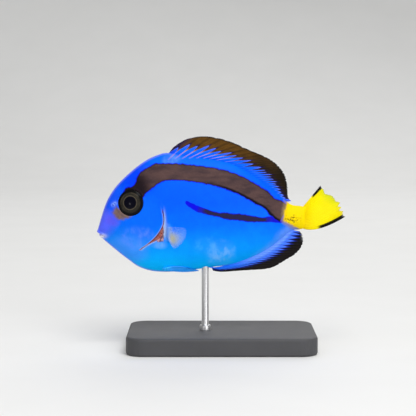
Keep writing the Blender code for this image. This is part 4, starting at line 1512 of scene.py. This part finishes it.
@dataclass(frozen=True)
class DorsalFin(MedianFin):
    """Fin along the back, with nine spines and nineteen rays."""

    pitches: tuple[float, ...] = (2.4,) * 9 + (1.0,) * 19
    unforked: int = 9
    base: tuple[float, float] = (-5.85, 7.35)
    margin: Line = Line((
        (-5.35, 14.30), (-4.60, 14.82), (-3.50, 15.32), (-1.85, 15.50), (-0.15, 15.26),
        (1.50, 14.72), (3.20, 13.94), (4.94, 13.20), (6.09, 12.44), (6.96, 11.38),
        (7.33, 10.14), (7.44, 8.75), (7.80, 8.25)))
    sweep: float = 0.70
    sway: float = 0.10
    waves: tuple[float, float] = (14.0, 0.0)
    comb_tip: Knots = ((0.0, 0.34), (0.09, 0.46), (0.2, 0.52), (0.32, 0.47), (0.44, 0.47),
                       (0.52, 0.44), (0.60, 0.40), (0.70, 0.47), (0.80, 0.48), (0.90, 0.42),
                       (0.97, 0.32), (1.0, 0.1))
    notch_share: float = 0.03
    paired: int = 15
    rear_plain: float = 0.975
    tooth_wobble: tuple[float, float] = (0.12, 2.3)
    tooth_shape: tuple[float, float] = (1.1, 1.8)
    tooth_slants: tuple[float, float] = (0.35, 0.45)
    slit_run: float = 1.15
    slit_width: tuple[float, float] = (0.76, 0.96)
    slit_end: tuple[float, float] = (0.34, 0.14)
    slit_span: tuple[float, ...] = (0.60, 0.40, 0.04, 0.08)

    def foot(self, along: np.ndarray, across: np.ndarray) -> np.ndarray:
        """Height of the root, just over the back."""
        return self.body.back.value(along) + self.gap(across)

    def slits(self) -> tuple[Knots, ...]:
        """Lines in which the gaps between the teeth run on down over the back.

        Returns:
            Upper and lower end of each line, in the side view.
        """
        ends = np.cumsum(self.pitches)
        across = (ends / ends[-1])[:self.unforked]
        root, above = (self.middle(across, np.full(across.shape, out))[:, [0, 2]]
                       for out in (0.0, 0.05))
        way = (above - root) / np.linalg.norm(above - root, axis=1, keepdims=True)
        runs = self.slit_run * np.linspace(1.0, 0.5, len(across))[:, None]
        return tuple((tuple(top), tuple(low)) for top, low in zip(root, root - way * runs))

    def marks(self, grid: dict[str, np.ndarray]) -> dict[str, np.ndarray]:
        """Numbers for the finish, with the comb of teeth.

        Args:
            grid: the fin as its grid method gives it.

        Returns:
            Numbers of each mark; comb is positive on a tooth.
        """
        number, ray, out = grid["number"], grid["ray"], grid["out"]
        pairs = (number >= self.unforked) & (number < self.paired)
        wide = ((number - self.unforked) % 2 + ray + 0.5) / 2 - 0.5
        phase = np.abs(np.where(pairs, wide, ray)) * 2
        tip = np.interp(grid["across"], *np.array(self.comb_tip).T)
        tooth = np.where(pairs, np.floor((number - self.unforked) / 2) + self.unforked, number)
        wobble = 1 + self.tooth_wobble[0] * np.sin(tooth * self.tooth_wobble[1])
        steep, power = self.tooth_shape
        shape = 1 - (steep * phase) ** power
        edge = self.notch_share + (tip * wobble - self.notch_share) * shape
        edge = np.where(grid["across"] > self.rear_plain, 1.2, edge)
        edge = np.where(grid["sunk"], 0.3, edge)
        slant = np.where(number >= self.unforked, *self.tooth_slants)
        slit = ease(*self.slit_width, phase) * ease(*self.slit_end, out)
        slit = slit * ease(*self.slit_span[:2], grid["across"])
        slit = slit * ease(*self.slit_span[2:], grid["across"])
        return {**super().marks(grid), "comb": (edge - out) * self.ray_length(grid) * slant,
                "tip": out / np.maximum(tip, 0.05), "slit": slit}


@dataclass(frozen=True)
class AnalFinish:
    """Blue fin with dark ticks between the rays and a black outer band."""

    blue: Colour = paint(14, 116, 250)
    pale: Colour = paint(58, 122, 250)
    root: Colour = paint(112, 158, 255)
    tip: Colour = paint(84, 104, 236)
    gap: Colour = paint(8, 12, 110)
    black: Colour = paint(10, 9, 9)
    worn_black: Colour = paint(26, 20, 18)
    ray_black: Colour = paint(40, 36, 38)
    clear: Colour = paint(110, 116, 122)

    def build(self) -> bpy.types.Material:
        """Makes the material.

        Returns:
            The material.
        """
        tree = Tree("anal_fin", Specular_IOR_Level=0.06)
        out, across, ray = tree.mark("out"), tree.mark("across"), tree.mark("ray")
        cloud, fine = tree.noise(0.8, 3.0), tree.noise(6.0, 2.0)
        blue = tree.mix(across.ease(0.25, 0.6), self.blue, self.pale)
        blue = tree.mix(out.ease(0.22, 0.0) * across.ease(0.25, 0.6) * 0.8, blue, self.root)
        blue = tree.mix(tree.mark("tick").ease(-0.5, 0.2) * 0.7, blue, self.tip)
        blue = tree.shade(blue, 0.88 + fine * 0.24)
        black = tree.shade(tree.mix(cloud, self.black, self.worn_black), 0.7 + fine * 0.6)
        black = tree.mix(abs(ray).ease(0.32, 0.05) * 0.3, black, self.ray_black)
        tick = tree.mark("tick") + (fine - 0.5) * 0.05
        colour = tree.mix(tick.ease(-0.12, 0.0) * 0.9, blue, self.gap)
        colour = tree.mix(tick.ease(0.0, 0.16), colour, black)
        rear = (across + (cloud - 0.5) * 0.2).ease(0.80, 0.97) * out.ease(0.82, 0.97)
        colour = tree.mix(rear * 0.8, colour, self.clear)
        alpha = 1 - rear * 0.55 - tree.mark("margin").ease(0.12, 0.0) * 0.4
        relief = fine * 0.4 + (out * 90).wave() * 0.12
        return tree.finish(colour, 0.4 + fine * 0.15, relief, 0.008, alpha)


@dataclass(frozen=True)
class AnalFin(MedianFin):
    """Fin behind the vent, with three spines and nineteen rays."""

    pitches: tuple[float, ...] = (1.35,) * 3 + (1.0,) * 19
    unforked: int = 3
    base: tuple[float, float] = (-1.10, 8.15)
    margin: Line = Line((
        (-0.95, 0.42), (0.10, 0.30), (2.60, 0.48), (4.90, 0.64), (6.00, 0.94), (7.10, 1.58),
        (8.25, 2.30), (8.92, 3.10), (9.13, 3.80), (9.07, 4.50), (8.80, 4.86)))
    sweep: float = 0.60
    sway: float = 0.08
    waves: tuple[float, float] = (12.0, 1.0)
    tick_slant: float = 0.4
    tick_root: Knots = ((0.0, 0.30), (0.28, 0.16), (0.40, 0.16), (0.50, 0.26), (0.70, 0.24),
                        (0.80, 0.30), (1.0, 0.26))
    black_edge: Knots = ((0.0, 0.60), (0.09, 0.46), (0.2, 0.38), (0.35, 0.40), (0.5, 0.49),
                         (0.7, 0.50), (0.8, 0.56), (0.88, 0.70), (0.94, 0.88), (1.0, 1.1))

    def foot(self, along: np.ndarray, across: np.ndarray) -> np.ndarray:
        """Height of the root, just under the belly."""
        return self.body.belly.value(along) - self.gap(across)

    def marks(self, grid: dict[str, np.ndarray]) -> dict[str, np.ndarray]:
        """Numbers for the finish, with the ticks between the rays.

        Args:
            grid: the fin as its grid method gives it.

        Returns:
            Numbers of each mark; tick is positive in the black.
        """
        root, edge = (np.interp(grid["across"], *np.array(knots).T)
                      for knots in (self.tick_root, self.black_edge))
        phase = np.abs(grid["ray"]) * 2
        start = edge + (root - edge) * phase ** 1.1
        tick = (grid["out"] - start) * self.ray_length(grid) * self.tick_slant
        return {**super().marks(grid), "tick": tick}


@dataclass(frozen=True)
class CaudalFinish:
    """Bright yellow fin with black upper and lower edges."""

    yellow: Colour = paint(234, 218, 0)
    root: Colour = paint(230, 200, 0)
    # Darker yellow between the raised rays: painted shade.
    deep: Colour = paint(206, 178, 0)
    green: Colour = paint(182, 202, 10)
    black: Colour = paint(12, 11, 8)

    def build(self) -> bpy.types.Material:
        """Makes the material.

        Returns:
            The material.
        """
        tree = Tree("caudal_fin", Specular_IOR_Level=0.06)
        out, across, ray = tree.mark("out"), tree.mark("across"), tree.mark("ray")
        cloud, fine = tree.noise(0.9, 3.0), tree.noise(6.0, 2.0)
        colour = tree.mix(out.ease(0.0, 0.5), self.root, self.yellow)
        colour = tree.shade(colour, 0.90 + cloud * 0.16)
        # Painted shade in the membrane between the raised rays.
        colour = tree.mix(abs(ray).ease(0.36, 0.48) * 0.35, colour, self.deep)
        tips = (out + (cloud - 0.5) * 0.2).ease(0.72, 1.0) * (across - 0.3).hump(0.6)
        colour = tree.mix(tips * 0.6, colour, self.green)
        waver = (fine - 0.5) * 0.02
        upper = (across + waver).ease(0.075, 0.045) * out.ease(0.50, 0.62)
        lower = (1 - across + waver).ease(0.105, 0.07) * out.ease(0.40, 0.52)
        colour = tree.mix(upper.most(lower), colour, self.black)
        alpha = 1 - tree.mark("margin").ease(0.3, 0.0) * 0.35
        relief = fine * 0.4 + (out * 110).wave() * 0.15
        return tree.finish(colour, 0.4 + fine * 0.12, relief, 0.008, alpha)


@dataclass(frozen=True)
class CaudalFin(RayFin):
    """Tail fin, its upper lobe swung to the far side."""

    pitches: tuple[float, ...] = (1.0,) * 16
    between: int = 14
    rows: int = 60
    fleshy: float = 0.62
    fleshy_fade: float = 0.7
    notch: float = 0.009
    fray: float = 0.05
    fork: float = 0.25
    root: Knots = ((9.08, 0.0, 7.62), (9.08, 0.0, 5.18))
    bend: Knots = ((9.95, 0.75, 8.55), (10.70, -0.30, 4.62))
    margin: Line = Line((
        (11.29, 3.05, 9.83), (11.90, 2.75, 9.05), (12.70, 2.25, 8.60), (13.28, 1.60, 8.22),
        (13.52, 0.55, 7.35), (13.80, -0.55, 6.58)))
    ripple: float = 0.14
    ripples: float = 1.6

    def middle(self, across: np.ndarray, out: np.ndarray) -> np.ndarray:
        """Middle surface, bent from the root to the margin.

        Args:
            across: share of the way across the rays, one number for each place.
            out: share of the way out along the rays.

        Returns:
            Points in millimetres, with their three sizes on the last axis.
        """
        across, out = across[..., None], out[..., None]
        root, bend = (np.array(ends[0]) * (1 - across) + np.array(ends[1]) * across
                      for ends in (self.root, self.bend))
        tip = self.margin.at_share(across[..., 0])
        ripple = self.ripple * np.sin(2 * np.pi * self.ripples * across) * out ** 2
        middle = root * (1 - out) ** 2 + bend * 2 * out * (1 - out) + tip * out ** 2
        return middle + ripple * np.array([0.0, 1.0, 0.0])

    def rootward(self, way: np.ndarray) -> np.ndarray:
        """Way straight forward into the tail root, closing a little."""
        return way * np.array([0.6, 0.0, 0.25])


@dataclass(frozen=True)
class ClearFinish:
    """Thin clear membrane on pale rays."""

    name: str = "clear_fin"
    ray: Colour = paint(198, 212, 236)
    membrane: Colour = paint(190, 214, 246)
    root: Colour = paint(120, 176, 250)
    tint: Colour = paint(212, 208, 158)
    tint_share: float = 0.0
    ray_alpha: float = 0.62
    membrane_alpha: float = 0.22

    def build(self) -> bpy.types.Material:
        """Makes the material.

        Returns:
            The material.
        """
        tree = Tree(self.name, Specular_IOR_Level=0.4)
        out, ray = tree.mark("out"), tree.mark("ray")
        fine = tree.noise(6.0, 2.0)
        on_ray = abs(ray).ease(0.26, 0.10)
        colour = tree.mix(on_ray, self.membrane, self.ray)
        across = tree.mark("across")
        patch = (across - 0.58).hump(0.44) * (out - 0.40).hump(0.60) * self.tint_share
        colour = tree.mix(patch * 0.9, colour, self.tint)
        foot = out.ease(0.26, 0.0)
        colour = tree.mix(foot, colour, self.root)
        alpha = self.membrane_alpha + on_ray * (self.ray_alpha - self.membrane_alpha)
        alpha = alpha * (1 - (1 - across.ease(0.0, 0.45)) * self.tint_share * 0.6)
        alpha = (alpha + foot + patch * 0.75).least(1.0) * (1 - out.ease(0.85, 1.0) * 0.4)
        return tree.finish(colour, 0.3 + fine * 0.15, fine, 0.006, alpha)


BREAST_FINISH = ClearFinish("breast_fin", tint_share=1.0, ray_alpha=0.26, membrane_alpha=0.13)
# Belly fins in their own blue, lightened to stand in for light from below: partly painted light.
BELLY_FINISH = ClearFinish("belly_fin", ray=paint(40, 160, 255), membrane=paint(8, 150, 255),
                           root=paint(4, 172, 255), ray_alpha=0.98, membrane_alpha=0.9)


@dataclass(frozen=True)
class PectoralFin(RayFin):
    """Breast fin, spread out from one flank."""

    pitches: tuple[float, ...] = (1.0,) * 16
    fleshy: float = 0.22
    fleshy_fade: float = 0.5
    membrane: float = 0.035
    ray_rise: float = 0.035
    notch: float = 0.03
    sink: float = 0.7
    side: Side = Side.LEFT
    along: float = -5.79
    heights: tuple[float, float] = (5.60, 4.20)
    top_way: tuple[float, float, float] = (0.44, 0.90, 0.06)
    low_way: tuple[float, float, float] = (0.06, 0.86, -0.46)
    lengths: Line = Line(((0.0, 3.2), (0.1, 3.9), (0.25, 4.3), (0.45, 4.05), (0.75, 2.95),
                          (1.0, 1.6)))
    stand_off: float = 0.36
    bow: float = 0.35

    def middle(self, across: np.ndarray, out: np.ndarray) -> np.ndarray:
        """Middle surface, spread outwards and bowed to the rear.

        Args:
            across: share of the way across the rays, one number for each place.
            out: share of the way out along the rays.

        Returns:
            Points in millimetres, with their three sizes on the last axis.
        """
        height = self.heights[0] + across * (self.heights[1] - self.heights[0])
        skin = self.body.half_width(self.along, height) + self.stand_off
        top, low = np.array(self.top_way), np.array(self.low_way)
        way = top + across[..., None] * (low - top)
        way /= np.linalg.norm(way, axis=-1, keepdims=True)
        length = self.lengths.value(across) * out
        return np.stack([self.along + way[..., 0] * length + self.bow * out * out,
                         self.side.value * (skin + way[..., 1] * length),
                         height + way[..., 2] * length], axis=-1)


@dataclass(frozen=True)
class PelvicFin(RayFin):
    """Belly fin, folded back along the keel of the belly."""

    pitches: tuple[float, ...] = (1.0,) * 4
    between: int = 12
    unforked: int = 1
    membrane: float = 0.05
    fleshy: float = 0.20
    sink: float = 0.6
    side: Side = Side.LEFT
    root: Knots = ((-6.36, 0.56), (-6.00, 0.96))
    tip: Knots = ((-2.45, 0.44), (-3.75, 0.84))
    stand_off: float = 0.20
    belly: float = 0.16

    def middle(self, across: np.ndarray, out: np.ndarray) -> np.ndarray:
        """Middle surface, a nearly flat blade that closes in on the body at its tip.

        Args:
            across: share of the way across the rays, one number for each place.
            out: share of the way out along the rays.

        Returns:
            Points in millimetres, with their three sizes on the last axis.
        """
        corners = []
        for along, height in self.root + self.tip:
            level = max(height, float(self.body.belly.value(along)))
            skin = float(self.body.half_width(along, level))
            corners.append(np.array([along, self.side.value * (skin + self.stand_off), height]))
        across, out = across[..., None], out[..., None]
        root = corners[0] * (1 - across) + corners[1] * across
        tip = corners[2] * (1 - across) + corners[3] * across
        drop = self.belly * np.sin(np.pi * out) * (1 - 2 * across) * np.array([0.0, 0.0, 1.0])
        return root + out * (tip - root) - drop

    def rootward(self, way: np.ndarray) -> np.ndarray:
        """Way forward and in through the flank."""
        return way + np.array([0.0, -0.9 * self.side.value, 0.3])


@dataclass(frozen=True)
class BaseFinish:
    """Matt dark grey moulded base."""

    grey: Colour = (0.05, 0.05, 0.055)
    light_grey: Colour = (0.07, 0.07, 0.074)

    def build(self) -> bpy.types.Material:
        """Makes the material.

        Returns:
            The material.
        """
        tree = Tree("stand_base", Specular_IOR_Level=0.4)
        cloud, fine = tree.noise(0.4, 3.0), tree.noise(14.0, 2.0)
        colour = tree.shade(tree.mix(cloud, self.grey, self.light_grey), 0.9 + fine * 0.2)
        return tree.finish(colour, 0.5 + cloud * 0.15, fine, 0.02)


@dataclass(frozen=True)
class RodFinish:
    """Brushed steel, with its brush lines round the rod."""

    steel: Colour = (0.55, 0.55, 0.56)
    bright_steel: Colour = (0.68, 0.68, 0.69)

    def build(self) -> bpy.types.Material:
        """Makes the material.

        Returns:
            The material.
        """
        tree = Tree("stand_rod", Metallic=1.0)
        brushed = tree.noise(6.0, 3.0, (1.0, 1.0, 14.0))
        colour = tree.mix(brushed, self.steel, self.bright_steel)
        colour = tree.shade(colour, 0.85 + brushed * 0.2)
        return tree.finish(colour, 0.22 + brushed * 0.2, brushed, 0.006)


@dataclass(frozen=True)
class Stand:
    """Base and rod that carry the fish."""

    body: Body
    base_top: float = 2.0
    rod_along: float = -1.82
    rod_radius: float = 0.4
    collar_radius: float = 0.62
    collar_height: float = 0.55
    sides: int = 48
    sunk: float = 0.45
    sharp_angle: float = math.radians(35)

    def build(self, base: bpy.types.Object) -> bpy.types.Object:
        """Gives the base its finish and makes the rod.

        Args:
            base: the carried-over solid of the base.

        Returns:
            The rod.
        """
        base.data.materials.clear()
        base.data.materials.append(BaseFinish().build())
        belly = BELLY_HEIGHT + float(self.body.belly.value(self.rod_along))
        outline = ((self.collar_radius, self.base_top - 0.2),
                   (self.collar_radius, self.base_top + self.collar_height - 0.12),
                   (self.collar_radius - 0.04, self.base_top + self.collar_height - 0.03),
                   (self.collar_radius - 0.12, self.base_top + self.collar_height),
                   (self.rod_radius + 0.03, self.base_top + self.collar_height + 0.01),
                   (self.rod_radius, self.base_top + self.collar_height + 0.06),
                   (self.rod_radius, belly + self.sunk - 0.06),
                   (self.rod_radius - 0.06, belly + self.sunk))
        turns = np.linspace(0, 2 * math.pi, self.sides, endpoint=False)
        rings = np.array([[(self.rod_along + radius * math.cos(turn), radius * math.sin(turn),
                            level) for turn in turns] for radius, level in outline])
        ends = [np.array([self.rod_along, 0.0, outline[end][1]]) * MM for end in (0, -1)]
        rod = make_object("steel_rod", *closed_rings(rings * MM, *ends))
        rod.data.set_sharp_from_angle(angle=self.sharp_angle)
        rod.data.materials.append(RodFinish().build())
        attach(rod, "root")
        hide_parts("stand_rod")
        return rod


@dataclass(frozen=True)
class Lamp:
    """Square soft light that looks at the fish."""

    name: str
    place: tuple[float, float, float]
    size: float
    power: float
    colour: Colour = (1.0, 1.0, 1.0)


@dataclass(frozen=True)
class Studio:
    """Plain pale floor that rises behind, soft lights and the camera."""

    half_width: float = 900.0
    front: float = -600.0
    bend: float = 260.0
    bend_radius: float = 220.0
    top: float = 700.0
    bend_steps: int = 16
    aim: tuple[float, float, float] = (-1.51, 0.0, 15.69)
    lens: float = 123.9
    sensor: float = 36.0
    sky: float = 0.37
    paper: Colour = (0.78, 0.78, 0.77)
    light_paper: Colour = (0.82, 0.82, 0.81)
    lamps: tuple[Lamp, ...] = (
        Lamp("key", (60.0, -210.0, 350.0), 260.0, 1.15),
        Lamp("fill", (230.0, -360.0, 110.0), 300.0, 0.65),
        Lamp("back", (60.0, 260.0, 240.0), 220.0, 0.3),
        Lamp("glint", (-118.0, -196.0, 46.0), 16.0, 0.02),
    )

    def floor(self) -> bpy.types.Object:
        """Makes the floor and the wall that it bends up to.

        Returns:
            The floor.
        """
        turns = np.linspace(0, 0.5 * math.pi, self.bend_steps + 1)
        profile = [(self.front, 0.0)]
        profile += [(self.bend + self.bend_radius * math.sin(turn),
                     self.bend_radius * (1 - math.cos(turn))) for turn in turns]
        profile.append((self.bend + self.bend_radius, self.top))
        points = np.array([(side * self.half_width, across, level)
                           for across, level in profile for side in (-1, 1)]) * MM
        faces = [(row, row + 1, row + 3, row + 2) for row in range(0, len(points) - 2, 2)]
        floor = make_object("studio_floor", points, faces)
        tree = Tree("studio_paper", Specular_IOR_Level=0.2)
        grain = tree.noise(0.08, 2.0)
        colour = tree.mix(grain, self.paper, self.light_paper)
        floor.data.materials.append(tree.finish(colour, 0.85))
        return floor

    def light(self) -> None:
        """Makes the lamps and the pale surround."""
        aim = Vector(self.aim) * MM
        for lamp in self.lamps:
            data = bpy.data.lights.new(lamp.name, "AREA")
            data.size = lamp.size * MM
            data.energy = lamp.power
            data.color = lamp.colour
            obj = bpy.data.objects.new(lamp.name, data)
            obj.location = Vector(lamp.place) * MM
            obj.rotation_euler = (aim - obj.location).to_track_quat("-Z", "Y").to_euler()
            bpy.context.scene.collection.objects.link(obj)
        surround = bpy.data.worlds.new("surround")
        surround.use_nodes = True
        background = surround.node_tree.nodes["Background"]
        background.inputs["Color"].default_value = (1.0, 1.0, 1.0, 1.0)
        background.inputs["Strength"].default_value = self.sky
        bpy.context.scene.world = surround
        bpy.context.scene.view_settings.view_transform = "Standard"

    def camera(self) -> bpy.types.Object:
        """Makes the camera at the photograph's viewing angle.

        Returns:
            The camera.
        """
        data = bpy.data.cameras.new("camera")
        data.lens = self.lens
        data.sensor_width = self.sensor
        data.clip_start = 0.001
        data.clip_end = 10.0
        camera = bpy.data.objects.new("camera", data)
        aim = Vector(self.aim) * MM
        back = Vector((0.0, -math.cos(VIEW_ELEVATION), math.sin(VIEW_ELEVATION)))
        camera.location = aim + back * VIEW_DISTANCE * MM
        camera.rotation_euler = (-back).to_track_quat("-Z", "Y").to_euler()
        bpy.context.scene.collection.objects.link(camera)
        bpy.context.scene.camera = camera
        return camera

    def build(self) -> None:
        """Makes the whole studio."""
        self.floor()
        self.light()
        self.camera()


def corners(box: tuple[Vector, Vector]) -> list[list[float]]:
    """Lowest and highest corner of a box as plain lists."""
    return [[float(size) for size in corner] for corner in box]


def report(piece: bpy.types.Object) -> None:
    """Logs a piece's name and the number of its faces."""
    LOG.info("%s: %d faces", piece.name, len(piece.data.polygons))


def main() -> None:
    """Builds the fish, its stand and the studio."""
    logging.basicConfig(level=logging.INFO, format="%(message)s")
    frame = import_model()

    body = Body()
    back_fin = DorsalFin(body)
    skin = Skin(body, comb_slits=back_fin.slits())
    report(skin.build())
    for side in Side:
        report(Eye(body, side).build())
        report(Gills(body, skin, side).build())
        report(PectoralFin(body, side=side).dress(
            f"breast_fin_{side.word}", f"pectoral_fin_{side.word}", Slot.CLEAR_FIN,
            BREAST_FINISH.build()))
        report(PelvicFin(body, side=side).dress(
            f"belly_fin_{side.word}", f"pelvic_fin_{side.word}", Slot.BLUE_FIN,
            BELLY_FINISH.build()))
    report(back_fin.dress("back_fin", "dorsal_fin", Slot.DARK_FIN, DorsalFinish().build()))
    report(AnalFin(body).dress("rear_fin", "anal_fin", Slot.BLUE_FIN, AnalFinish().build()))
    report(CaudalFin(body).dress("tail_fin", "caudal_fin", Slot.YELLOW_SKIN,
                                 CaudalFinish().build()))
    report(Stand(body).build(frame["nodes"]["stand_base"]))
    Studio().build()


if __name__ == "__main__":
    main()
